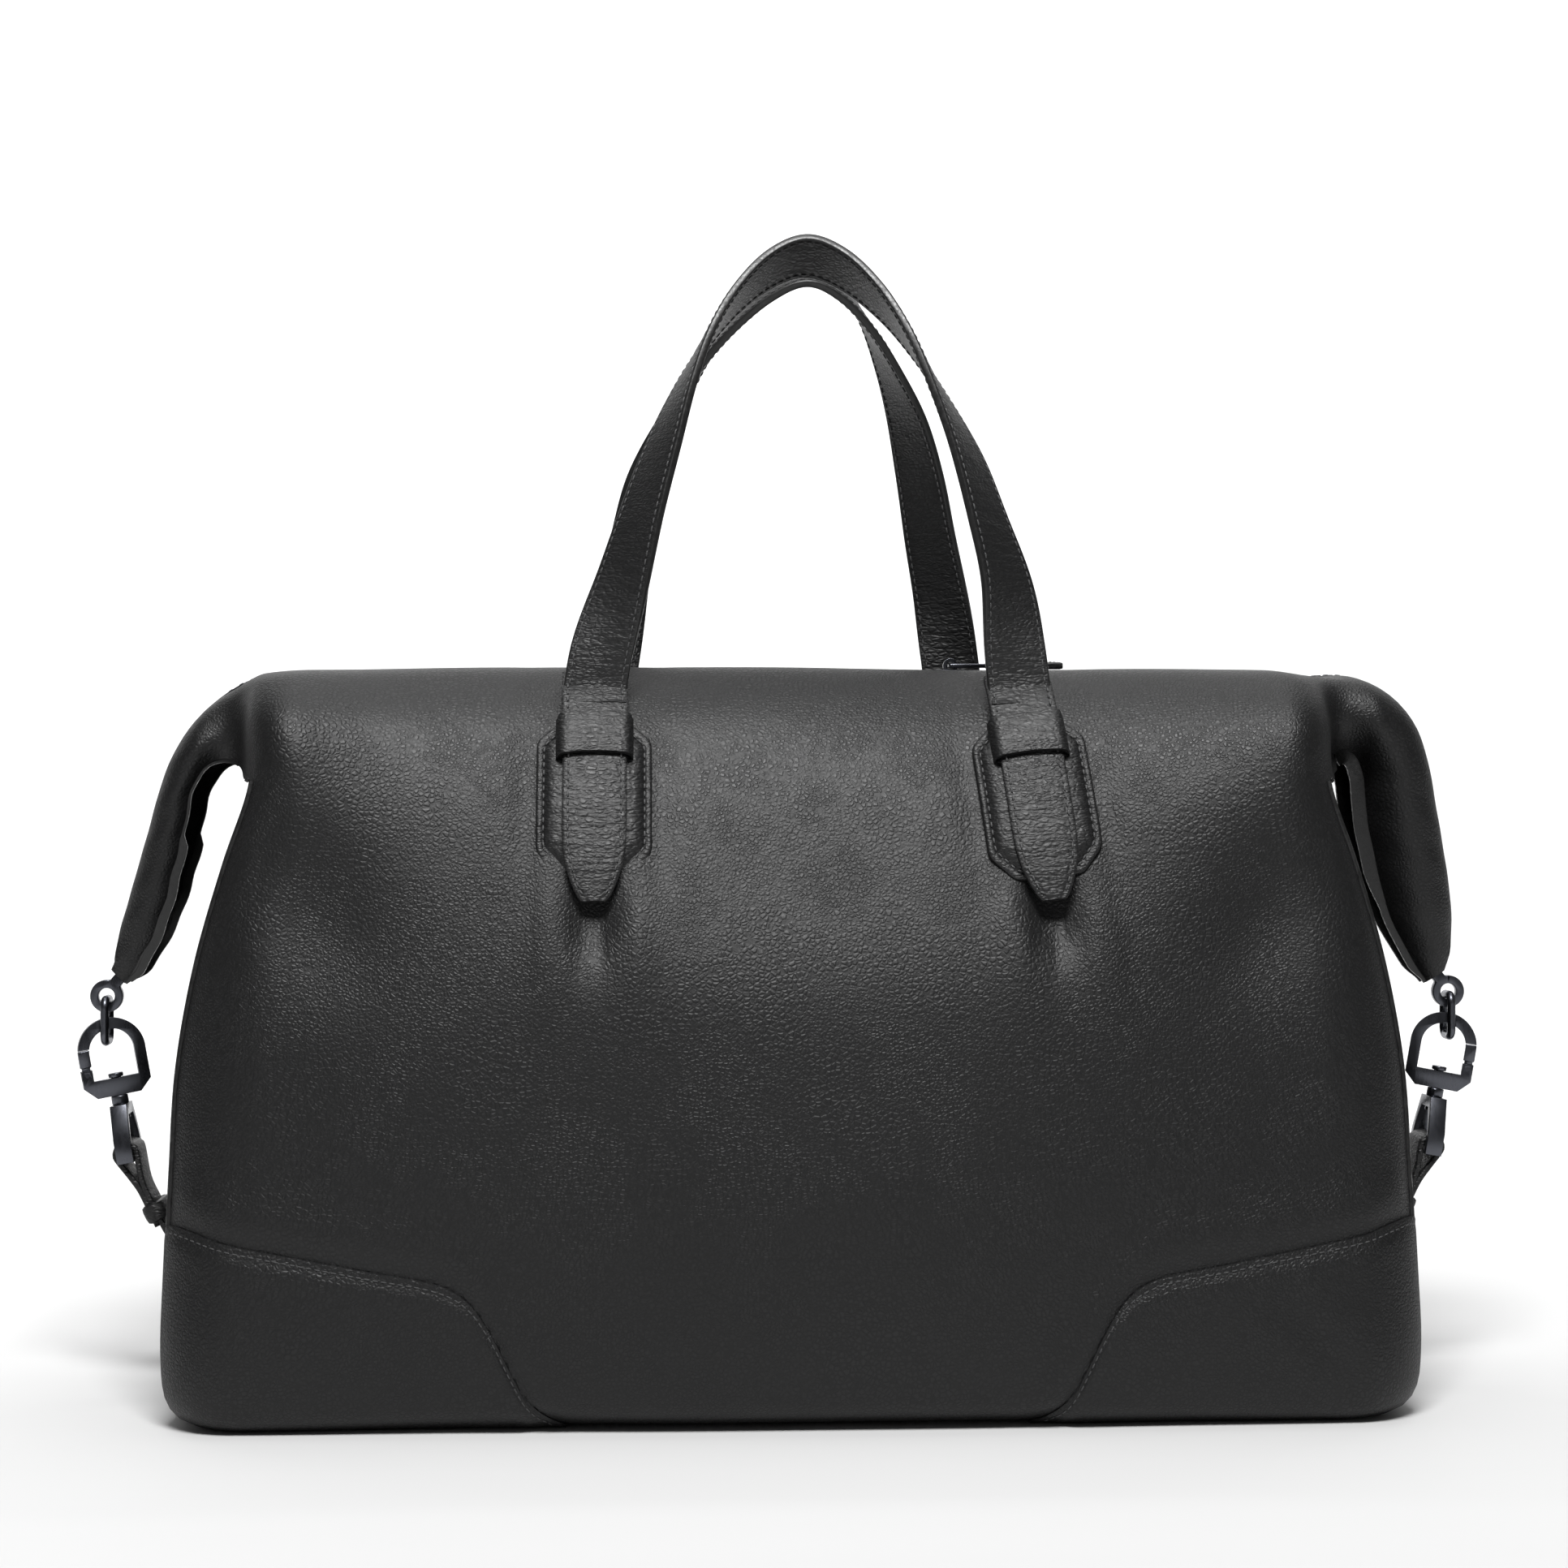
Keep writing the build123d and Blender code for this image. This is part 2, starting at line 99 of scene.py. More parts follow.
# Body stations from the base edge up and over to the zip: depth and height on the centre line,
# depth and height at the ends, half width, and radius of the upright corner.
STATIONS = np.array([
    (90.0, 0.6, 90.0, 0.6, 222.0, 16.0),
    (106.0, 2.6, 105.0, 2.6, 243.0, 24.0),
    (116.5, 11.0, 112.0, 11.0, 254.0, 32.0),
    (121.0, 30.0, 114.0, 30.0, 257.0, 36.0),
    (122.5, 60.0, 113.0, 60.0, 257.0, 40.0),
    (121.0, 100.0, 110.5, 100.0, 255.8, 42.0),
    (114.5, 142.0, 106.5, 142.0, 253.8, 42.0),
    (104.5, 182.0, 102.5, 184.0, 246.6, 40.0),
    (91.5, 220.0, 99.0, 224.0, 235.0, 36.0),
    (77.0, 254.0, 94.0, 256.0, 223.8, 29.0),
    (60.5, 282.0, 83.0, 283.0, 222.5, 22.0),
    (43.0, 299.0, 61.0, 298.0, 222.0, 18.0),
    (28.0, 306.3, 40.0, 303.5, SHOULDER_X, 13.0),
    (16.0, 305.8, 22.0, 302.6, SHOULDER_X, 7.0),
    (7.0, 303.8, 7.0, 303.4, SHOULDER_X, 2.0),
])
SEAM_TURN = math.radians(62.0)
END_POWER = 2.6

# Wing stations: X, Z, slope, half thickness, half depth
WINGS = {
    "left": np.array([
        (225.5, 281.0, 0.0, 18.0, 42.0),
        (241.0, 277.5, -22.0, 14.0, 38.0),
        (255.0, 260.0, -62.0, 10.5, 32.0),
        (262.5, 232.0, -78.0, 11.5, 27.0),
        (270.5, 204.0, -70.0, 11.8, 21.0),
        (279.0, 184.0, -58.0, 10.0, 13.0),
        (285.0, 174.0, -52.0, 6.3, 7.5),
    ]),
    "right": np.array([
        (226.5, 284.0, 0.0, 19.0, 42.0),
        (248.0, 285.5, -9.0, 17.5, 38.0),
        (262.0, 271.0, -50.0, 17.0, 33.0),
        (268.5, 240.0, -76.0, 17.0, 28.0),
        (276.0, 206.0, -76.0, 15.6, 21.0),
        (282.5, 185.0, -68.0, 10.8, 13.0),
        (286.0, 174.0, -56.0, 7.0, 7.5),
    ]),
}
WING_TIP = 1.0

# Handles: the back one stands a little narrower than the front one. Each is drawn facing the front.
FOOT_X = {"front": 88.0, "back": 79.0}
HANDLE_SHIFT = {"front": 6.0, "back": -1.0}
FOOT_Z = 299.0
LEANS = {"left": 0.0, "right": 6.0}
STRAP_WIDTH, STRAP_THICK = 26.0, 3.3
CROWN_TILT = 30.0
# One leg's centre line above its foot: X as a share of the foot's, Y and Z; how far to the right the
# front handle, the back one's right leg and its left leg lean; and how far the strap has turned, at
# the front and at the back's right leg
LEG = np.array([
    (0.975, -58.0, 313.0, 1.0, 0.0, 0.0, 8.0, 4.0),
    (0.91, -56.5, 341.0, 3.5, 1.0, 0.0, 32.0, 26.0),
    (0.825, -54.0, 368.0, 3.5, 2.5, -2.0, 45.0, 36.0),
    (0.73, -50.0, 395.0, 3.5, 5.0, -3.5, 53.0, 43.0),
    (0.615, -45.0, 421.0, 2.5, 7.5, -1.5, 64.0, 54.0),
    (0.495, -38.5, 443.0, 2.0, 8.0, 2.0, 74.0, 67.0),
    (0.355, -31.0, 461.5, 2.0, 9.0, 5.5, 81.0, 78.0),
    (0.185, -24.5, 476.0, 2.0, 9.5, 8.5, 87.0, 86.0),
    (0.0, -22.0, 482.5, 2.0, 9.5, 9.5, 90.0, 90.0),
])
STITCH_PITCH = 3.5
# Pitch, length and radius of the finer stitches on the corner overlays and side straps
FINE_STITCH = (3.3, 2.3, 0.3)


# ---------------------------------------------------------------- camera, light, floor

def camera(azimuth=-3.0, distance=1.3, height=0.257, lens=68.7, aim=(-0.0005, 0.0, 0.257)):
    """A camera level with the bag's shoulder, a little to the left of square on."""
    data = bpy.data.cameras.new("camera")
    data.lens = lens
    data.sensor_width = 36.0
    cam = bpy.data.objects.new("camera", data)
    bpy.context.scene.collection.objects.link(cam)
    turn = math.radians(azimuth)
    back = Vector((math.sin(turn), -math.cos(turn), 0.0))
    right = Vector((math.cos(turn), math.sin(turn), 0.0))
    middle = Vector((0.0, 0.0, height)) + right * aim[0]
    cam.location = middle + back * distance
    cam.rotation_mode = "QUATERNION"
    cam.rotation_quaternion = (-back).to_track_quat("-Z", "Y")
    bpy.context.scene.camera = cam


def area_light(name, place, target, size, power, colour=(1.0, 1.0, 1.0)):
    """One soft box, aimed at a point."""
    data = bpy.data.lights.new(name, "AREA")
    data.shape = "RECTANGLE"
    data.size, data.size_y = size
    data.energy = power
    data.color = colour
    lamp = bpy.data.objects.new(name, data)
    lamp.location = place
    aim = Vector(target) - Vector(place)
    lamp.rotation_mode = "QUATERNION"
    lamp.rotation_quaternion = aim.to_track_quat("-Z", "Y")
    bpy.context.scene.collection.objects.link(lamp)


def studio():
    """Soft light from in front and above, a weak one overhead, a lit backdrop and a dim surround."""
    area_light("key", (-0.05, -1.15, 1.9), (0.0, 0.0, 0.25), (0.8, 0.6), 54.0)
    area_light("top", (0.0, 0.15, 1.9), (0.0, 0.0, 0.2), (1.5, 0.7), 8.0)
    area_light("backdrop", (0.0, 1.2, 2.4), (0.0, 3.4, 0.9), (3.0, 0.8), 160.0)
    world = bpy.data.worlds.new("surround")
    world.use_nodes = True
    background = world.node_tree.nodes["Background"]
    background.inputs["Color"].default_value = (0.9, 0.9, 0.9, 1.0)
    background.inputs["Strength"].default_value = 0.11
    bpy.context.scene.world = world
    bpy.context.scene.view_settings.view_transform = "Standard"


def floor():
    """A pale sweep that rises behind the bag."""
    half, front, depth, rise = 9.0, 9.0, 3.5, 7.0
    turns = [math.radians(a) for a in range(0, 91, 10)]
    bend = 0.6
    line = [(-front, 0.0)] + [(depth - bend + bend * math.sin(a), bend - bend * math.cos(a))
                              for a in turns]
    line.append((depth, rise))
    verts = [(x, y, z) for y, z in line for x in (-half, half)]
    faces = [(2 * i, 2 * i + 1, 2 * i + 3, 2 * i + 2) for i in range(len(line) - 1)]
    mesh = bpy.data.meshes.new("floor")
    mesh.from_pydata(verts, [], faces)
    for face in mesh.polygons:
        face.use_smooth = True
    sweep = bpy.data.objects.new("floor", mesh)
    bpy.context.scene.collection.objects.link(sweep)
    material = bpy.data.materials.new("floor_paint")
    material.use_nodes = True
    shader = material.node_tree.nodes["Principled BSDF"]
    shader.inputs["Base Color"].default_value = (0.66, 0.66, 0.66, 1.0)
    shader.inputs["Roughness"].default_value = 0.9
    sweep.data.materials.append(material)


camera()
studio()
floor()


# ---------------------------------------------------------------- curves and meshes

def smooth(t):
    """A soft step from 0 to 1."""
    t = np.clip(t, 0.0, 1.0)
    return t * t * (3.0 - 2.0 * t)


def hump(t, centre, width):
    """A soft bump of height 1."""
    return np.exp(-((np.asarray(t) - centre) / width) ** 2)


def spline(points, dense=24):
    """A smooth line through a list of points, finely sampled."""
    p = np.asarray(points, float)
    padded = np.vstack([2 * p[0] - p[1], p, 2 * p[-1] - p[-2]])
    out = []
    for i in range(1, len(padded) - 2):
        a, b, c, d = padded[i - 1:i + 3]
        for t in np.arange(dense) / dense:
            out.append(0.5 * (2 * b + (c - a) * t + (2 * a - 5 * b + 4 * c - d) * t ** 2
                              + (3 * b - a - 3 * c + d) * t ** 3))
    out.append(p[-1])
    return np.array(out)


def lengths(line, dims=3):
    """Distance along a line at each of its points."""
    steps = np.linalg.norm(np.diff(line[:, :dims], axis=0), axis=1)
    return np.concatenate([[0.0], np.cumsum(steps)])


def at(line, where, along):
    """Values of a line's columns at the given distances along it."""
    where = np.asarray(where, float)
    return np.stack([np.interp(where, along, line[:, k]) for k in range(line.shape[1])], axis=-1)


def resample(line, count):
    """The same line at evenly spaced points."""
    along = lengths(line)
    return at(line, np.linspace(0.0, along[-1], count), along)


def unit(v):
    """Vectors scaled to length 1."""
    return v / np.maximum(np.linalg.norm(v, axis=-1, keepdims=True), 1e-9)


def half_turn(points):
    """Half a turn about the upright axis."""
    return np.asarray(points) * np.array([-1.0, -1.0, 1.0])


def reflected(points):
    """The other side's points."""
    return np.asarray(points) * np.array([-1.0, 1.0, 1.0])


def grid_faces(rows, columns, start=0, closed=False):
    """Quads of a grid, whose columns may close into a ring."""
    faces = []
    for i in range(rows - 1):
        for j in range(columns if closed else columns - 1):
            k = (j + 1) % columns
            faces.append((start + i * columns + j, start + i * columns + k,
                          start + (i + 1) * columns + k, start + (i + 1) * columns + j))
    return faces


def vertex_normals(verts, faces):
    """Area-weighted normals."""
    out = np.zeros_like(verts)
    quads = np.array(faces)
    cross = np.cross(verts[quads[:, 2]] - verts[quads[:, 0]], verts[quads[:, 3]] - verts[quads[:, 1]])
    for k in range(4):
        np.add.at(out, quads[:, k], cross)
    return unit(out)


def make_piece(name, verts, faces, material, crease=45.0):
    """A mesh object from points in millimetres, with outward normals and sharp edges kept."""
    mesh = bpy.data.meshes.new(name)
    mesh.from_pydata((np.asarray(verts) * MM).tolist(), [], [tuple(map(int, f)) for f in faces])
    build = bmesh.new()
    build.from_mesh(mesh)
    bmesh.ops.recalc_face_normals(build, faces=build.faces)
    build.to_mesh(mesh)
    build.free()
    mesh.polygons.foreach_set("use_smooth", [True] * len(mesh.polygons))
    mesh.set_sharp_from_angle(angle=math.radians(crease))
    mesh.materials.append(material)
    piece = bpy.data.objects.new(name, mesh)
    bpy.context.scene.collection.objects.link(piece)
    return piece


def ribbon(points, normals, wides, section, closed_ends=True):
    """Sweeps a closed cross-section of (across, up) pairs along a line with given frames."""
    verts = np.array([p + w * a + n * b for p, n, w in zip(points, normals, wides) for a, b in section])
    count = len(section)
    faces = grid_faces(len(points), count, closed=True)
    if closed_ends:
        faces.append(tuple(range(count)))
        faces.append(tuple(range((len(points) - 1) * count, len(points) * count)))
    return verts, faces


def rounded_section(width, thick, edge=0.9, crown=0.0, steps=4, across=6):
    """The cross-section of a flat strap with rolled edges and a slight crown."""
    half_w, half_t = width / 2, thick / 2
    r = min(edge, half_t * 0.98)
    right, left, top, bottom = half_w - r, -half_w + r, half_t - r, -half_t + r
    out = []

    def corner(x, up, turns):
        for turn in turns:
            out.append((x + r * math.cos(math.radians(turn)), up + r * math.sin(math.radians(turn))))

    flats = np.linspace(left, right, across)
    for x in flats:
        out.append((x, half_t + crown * (1 - (x / half_w) ** 2)))
    corner(right, top, np.linspace(90, 0, steps)[1:])
    corner(right, bottom, np.linspace(0, -90, steps))
    for x in flats[::-1][1:]:
        out.append((x, -half_t))
    corner(left, bottom, np.linspace(-90, -180, steps)[1:])
    corner(left, top, np.linspace(180, 90, steps)[:-1])
    return out


def tube_along(points, radius, sides=8):
    """A round tube along a line."""
    p = np.asarray(points, float)
    tangent = unit(np.gradient(p, axis=0))
    guide = np.array([0.0, 0.0, 1.0]) if abs(tangent[0][2]) < 0.9 else np.array([1.0, 0.0, 0.0])
    normals = []
    previous = guide
    for t in tangent:
        previous = unit(previous - t * (previous @ t))
        normals.append(previous)
    normals = np.array(normals)
    wides = np.cross(tangent, normals)
    ring = [(radius * math.cos(a), radius * math.sin(a)) for a in np.arange(sides) * 2
            * math.pi / sides]
    return ribbon(p, normals, wides, ring)


def stitch_row(line, up, pitch=STITCH_PITCH, length=2.5, radius=0.38):
    """Separate stitches along a line, half sunk, as one mesh of small rounded capsules."""
    line, up = np.asarray(line, float), np.asarray(up, float)
    along = lengths(line)
    count = max(1, int(along[-1] / pitch))
    verts, faces = [], []
    for n in range(count):
        middle = (n + 0.5) * along[-1] / count
        ends = at(np.hstack([line, up]), [middle - length / 2, middle, middle + length / 2], along)
        tangent = unit(ends[2, :3] - ends[0, :3])
        normal = unit(ends[1, 3:])
        wide = np.cross(tangent, normal)
        rings = ((-0.5, 0.35, -0.30), (-0.34, 0.95, 0.0), (0.0, 1.0, 0.10), (0.34, 0.95, 0.0),
                 (0.5, 0.35, -0.30))
        start = len(verts)
        for t, size, lift in rings:
            centre = ends[1, :3] + tangent * length * t + normal * radius * (lift + 0.2)
            for a in np.arange(6) * math.pi / 3:
                verts.append(centre + wide * radius * size * math.cos(a) + normal * radius * size
                             * math.sin(a))
        faces += grid_faces(len(rings), 6, start, closed=True)
        faces.append(tuple(start + k for k in range(6)))
        faces.append(tuple(start + (len(rings) - 1) * 6 + k for k in range(6)))
    return np.array(verts), faces


def merged(pieces):
    """Several (verts, faces) pairs as one."""
    verts, faces, base = [], [], 0
    for v, f in pieces:
        verts.append(v)
        faces += [tuple(base + k for k in face) for face in f]
        base += len(v)
    return np.vstack(verts), faces


# ---------------------------------------------------------------- materials

class Nodes:
    """Shorthand for building one material's node tree."""

    def __init__(self, name):
        self.material = bpy.data.materials.new(name)
        self.material.use_nodes = True
        self.tree = self.material.node_tree
        self.shader = self.tree.nodes["Principled BSDF"]
        coordinates = self.tree.nodes.new("ShaderNodeTexCoord")
        self.where = coordinates.outputs["Object"]

    def link(self, value, socket):
        """Connects a socket, or sets a number."""
        if hasattr(value, "is_output"):
            self.tree.links.new(value, socket)
        else:
            socket.default_value = value

    def math(self, operation, a, b=0.0, c=0.0, clamp=False):
        """One arithmetic node."""
        node = self.tree.nodes.new("ShaderNodeMath")
        node.operation = operation
        node.use_clamp = clamp
        for value, socket in zip((a, b, c), node.inputs):
            self.link(value, socket)
        return node.outputs[0]

    def scaled(self, where, factors):
        """Coordinates multiplied axis by axis."""
        node = self.tree.nodes.new("ShaderNodeMapping")
        node.inputs["Scale"].default_value = factors
        self.link(where, node.inputs["Vector"])
        return node.outputs[0]

    def noise(self, scale, detail=2.0, roughness=0.5, where=None, distortion=0.0):
        """Soft noise from 0 to 1."""
        node = self.tree.nodes.new("ShaderNodeTexNoise")
        node.inputs["Scale"].default_value = scale
        node.inputs["Detail"].default_value = detail
        node.inputs["Roughness"].default_value = roughness
        node.inputs["Distortion"].default_value = distortion
        self.link(where or self.where, node.inputs["Vector"])
        return node.outputs[0]

    def warped(self, scale, amount, where=None):
        """Coordinates pushed about by noise, so that cells lose their straight sides."""
        where = where or self.where
        noise = self.tree.nodes.new("ShaderNodeTexNoise")
        noise.inputs["Scale"].default_value = scale
        noise.inputs["Detail"].default_value = 2.0
        self.link(where, noise.inputs["Vector"])
        shift = self.tree.nodes.new("ShaderNodeVectorMath")
        shift.operation = "MULTIPLY_ADD"
        self.link(noise.outputs["Color"], shift.inputs[0])
        shift.inputs[1].default_value = (amount,) * 3
        self.link(where, shift.inputs[2])
        return shift.outputs[0]

    def cells(self, scale, where, feature="DISTANCE_TO_EDGE", output="Distance"):
        """Cellular pattern: distance to the nearest cell wall, or to the nearest centre."""
        node = self.tree.nodes.new("ShaderNodeTexVoronoi")
        node.feature = feature
        node.inputs["Scale"].default_value = scale
        self.link(where, node.inputs["Vector"])
        return node.outputs[output]

    def range(self, value, low, high, to_low=0.0, to_high=1.0, kind="SMOOTHSTEP"):
        """Maps one range of numbers to another."""
        node = self.tree.nodes.new("ShaderNodeMapRange")
        node.interpolation_type = kind
        for socket, number in zip(("From Min", "From Max", "To Min", "To Max"),
                                  (low, high, to_low, to_high)):
            node.inputs[socket].default_value = number
        self.link(value, node.inputs["Value"])
        return node.outputs[0]

    def mix(self, factor, a, b):
        """A colour between two colours."""
        node = self.tree.nodes.new("ShaderNodeMix")
        node.data_type = "RGBA"
        self.link(factor, node.inputs["Factor"])
        for value, socket in ((a, node.inputs[6]), (b, node.inputs[7])):
            self.link(value if hasattr(value, "is_output") else (*value, 1.0), socket)
        return node.outputs[2]

    def bump(self, height, distance, strength=1.0):
        """Relief, in metres, on the shader."""
        node = self.tree.nodes.new("ShaderNodeBump")
        node.inputs["Distance"].default_value = distance
        node.inputs["Strength"].default_value = strength
        self.link(height, node.inputs["Height"])
        self.link(node.outputs[0], self.shader.inputs["Normal"])

    def set(self, **values):
        """Numbers on the shader's own sockets."""
        for key, value in values.items():
            self.shader.inputs[key.replace("_", " ")].default_value = value


def leather(name, cell=0.0016, relief=0.00013, dark=(0.0045, 0.0045, 0.0047),
            light=(0.010, 0.010, 0.0103),
            gloss=(0.52, 0.43), stretch=1.0, wrinkle=0.0, specular=0.38):
    """Black pebbled leather: soft pebbles in two sizes with dark valleys, pores and slow swelling."""
    n = Nodes(name)
    where = n.scaled(n.warped(0.4 / cell, cell * 0.5), (1.0 / stretch, 1.0 / stretch, 1.0))
    fine, coarse = (n.range(n.cells(k / cell, where), 0.0, 0.32) for k in (1.0, 0.8))
    grain = n.math("MULTIPLY_ADD", n.math("SUBTRACT", coarse, fine),
                   n.range(n.noise(22.0, 2.0), 0.42, 0.6), fine)
    pores = n.noise(2.2 / cell, 3.0, 0.6)
    height = n.math("MULTIPLY_ADD", n.noise(0.7 / cell, 1.0, 0.5), 0.9, grain)
    height = n.math("MULTIPLY_ADD", n.noise(0.12 / cell, 1.0, 0.5), 0.8, height)
    if wrinkle:
        across = n.noise(130.0, 3.0, 0.55, n.scaled(n.where, (0.6, 0.6, 4.0)), 0.5)
        height = n.math("MULTIPLY_ADD", n.range(across, 0.3, 0.7), wrinkle, height)
    n.bump(height, relief)
    tone = n.math("MULTIPLY", grain, n.range(n.noise(9.0, 3.0), 0.3, 0.7, 0.75, 1.0), clamp=True)
    n.link(n.mix(tone, dark, light), n.shader.inputs["Base Color"])
    n.link(n.range(n.math("MULTIPLY_ADD", pores, 0.35, grain), 0.1, 1.2, *gloss, kind="LINEAR"),
           n.shader.inputs["Roughness"])
    n.set(Specular_IOR_Level=specular)
    return n.material


def edge_paint():
    """The sealed cut edge of the leather: smooth, a little glossy."""
    n = Nodes("edge_paint")
    n.link(n.mix(n.noise(400.0, 2.0), (0.006, 0.006, 0.006), (0.012, 0.012, 0.012)),
           n.shader.inputs["Base Color"])
    n.link(n.range(n.noise(700.0, 2.0), 0.3, 0.7, 0.30, 0.48), n.shader.inputs["Roughness"])
    n.bump(n.noise(900.0, 2.0), 0.00008)
    return n.material


def thread():
    """Twisted waxed thread."""
    n = Nodes("thread")
    twist = n.noise(1800.0, 1.0, 0.5, n.scaled(n.where, (1.0, 1.0, 1.6)))
    n.link(n.mix(twist, (0.030, 0.030, 0.030), (0.075, 0.075, 0.077)), n.shader.inputs["Base Color"])
    n.bump(twist, 0.00022)
    n.set(Roughness=0.55)
    return n.material


def dark_metal(name="dark_metal", tint=(0.085, 0.088, 0.100)):
    """Gunmetal plate: smooth, with faint polishing marks and fingered patches."""
    n = Nodes(name)
    marks = n.noise(900.0, 2.0, 0.6, n.scaled(n.where, (1.0, 1.0, 0.15)))
    patches = n.noise(60.0, 3.0)
    n.link(n.mix(patches, tint, tuple(c * 1.5 for c in tint)), n.shader.inputs["Base Color"])
    n.link(n.range(n.math("MULTIPLY_ADD", marks, 0.4, patches), 0.3, 1.0, 0.20, 0.36),
           n.shader.inputs["Roughness"])
    n.bump(marks, 0.00002)
    n.set(Metallic=1.0)
    return n.material


def woven(name, dark, light, pitch=0.0006, relief=0.00012):
    """Plain-woven tape or cloth: two sets of threads at right angles."""
    n = Nodes(name)
    split = n.tree.nodes.new("ShaderNodeSeparateXYZ")
    n.link(n.where, split.inputs[0])
    turn = 2 * math.pi / pitch / 2
    waves = [n.math("SINE", n.math("MULTIPLY", split.outputs[axis], turn)) for axis in range(3)]
    over = n.math("MULTIPLY", waves[0], n.math("ADD", waves[1], waves[2]))
    slub = n.noise(500.0, 3.0)
    height = n.math("MULTIPLY_ADD", slub, 0.5, n.range(over, -1.0, 1.0))
    n.link(n.mix(height, dark, light), n.shader.inputs["Base Color"])
    n.bump(height, relief)
    n.set(Roughness=0.85)
    return n.material


def board():
    """Grey fibre board."""
    n = Nodes("base_board")
    fibre = n.noise(300.0, 4.0, 0.7, n.scaled(n.where, (1.0, 4.0, 1.0)))
    n.link(n.mix(fibre, (0.10, 0.095, 0.09), (0.19, 0.18, 0.17)), n.shader.inputs["Base Color"])
    n.bump(fibre, 0.00015)
    n.set(Roughness=0.9)
    return n.material


GRAIN = leather("grain_leather")
STRAP = leather("strap_leather", cell=0.0014, relief=0.00015, stretch=2.0, wrinkle=1.2, specular=0.45)
EDGE = edge_paint()
THREAD = thread()
METAL = dark_metal()
TAPE = woven("zip_tape", (0.006, 0.006, 0.007), (0.022, 0.022, 0.023))
CLOTH = woven("lining_cloth", (0.020, 0.020, 0.022), (0.050, 0.050, 0.053), pitch=0.0009)
BOARD_FINISH = board()


# ---------------------------------------------------------------- body surface

PROFILE = spline(STATIONS)
RISE = lengths(PROFILE, 2)
V_TOP = RISE[-1]
ARMPIT_Z = 258.0
V_ARMPIT = float(np.interp(ARMPIT_Z, PROFILE[:, 3][:int(len(PROFILE) * 0.8)],
                           RISE[:int(len(PROFILE) * 0.8)]))
SPLIT = 186.0


def seam_s(v):
    """Distance round the panel from its middle to the gusset's seam."""
    row = at(PROFILE, v, RISE)
    return row[..., 4] - row[..., 5] + row[..., 5] * SEAM_TURN


def raw_surface(s, v):
    """The front panel before its dents and swells, in millimetres."""
    s, v = np.broadcast_arrays(np.asarray(s, float), np.asarray(v, float))
    row = at(PROFILE, v, RISE)
    d_mid, z_mid, d_end, z_end, width, radius = np.moveaxis(row, -1, 0)
    flat = width - radius
    turn = np.maximum(np.abs(s) - flat, 0.0) / radius
    x = np.sign(s) * (np.minimum(np.abs(s), flat) + radius * np.sin(turn))
    end = np.clip(np.abs(x) / SHOULDER_X, 0.0, 1.0) ** END_POWER
    depth = d_mid + (d_end - d_mid) * end
    height = z_mid + (z_end - z_mid) * end
    return np.stack([x, -(depth - radius * (1.0 - np.cos(turn))), height], axis=-1)


def v_at(x, z):
    """The panel's row that has a given height at a given place along it."""
    x, z = np.broadcast_arrays(np.asarray(x, float), np.asarray(z, float))
    end = np.clip(np.abs(x) / SHOULDER_X, 0.0, 1.0) ** END_POWER
    rising = slice(0, int(np.argmax(PROFILE[:, 1])))
    out = np.empty(x.shape)
    for k in np.ndindex(x.shape):
        heights = PROFILE[rising, 1] + (PROFILE[rising, 3] - PROFILE[rising, 1]) * end[k]
        out[k] = np.interp(z[k], heights, RISE[rising])
    return out


def waves(s, z):
    """Slow, uneven swelling of a soft panel."""
    return (0.9 * np.sin(s / 61.0 + z / 83.0 + 0.6) + 0.7 * np.sin(s / 37.0 - z / 52.0 + 2.1)
            + 0.45 * np.sin(s / 23.0 + z / 31.0 + 4.0))


def overlay_height(x):
    """Upper edge of the corner overlays, by distance from the bag's middle."""
    return np.interp(np.abs(x), OVERLAY_LINE[:, 0], OVERLAY_LINE[:, 1])


OVERLAY_POINTS = [(90.0, 1.0), (100.0, 4.5), (108.0, 12.0), (115.0, 26.0), (123.0, 42.0), (132.0, 54.0),
                  (145.0, 60.5), (170.0, 65.0), (200.0, 70.5), (228.0, 75.5), (243.0, 79.0),
                  (262.0, 82.0)]
OVERLAY_LINE = spline(OVERLAY_POINTS)


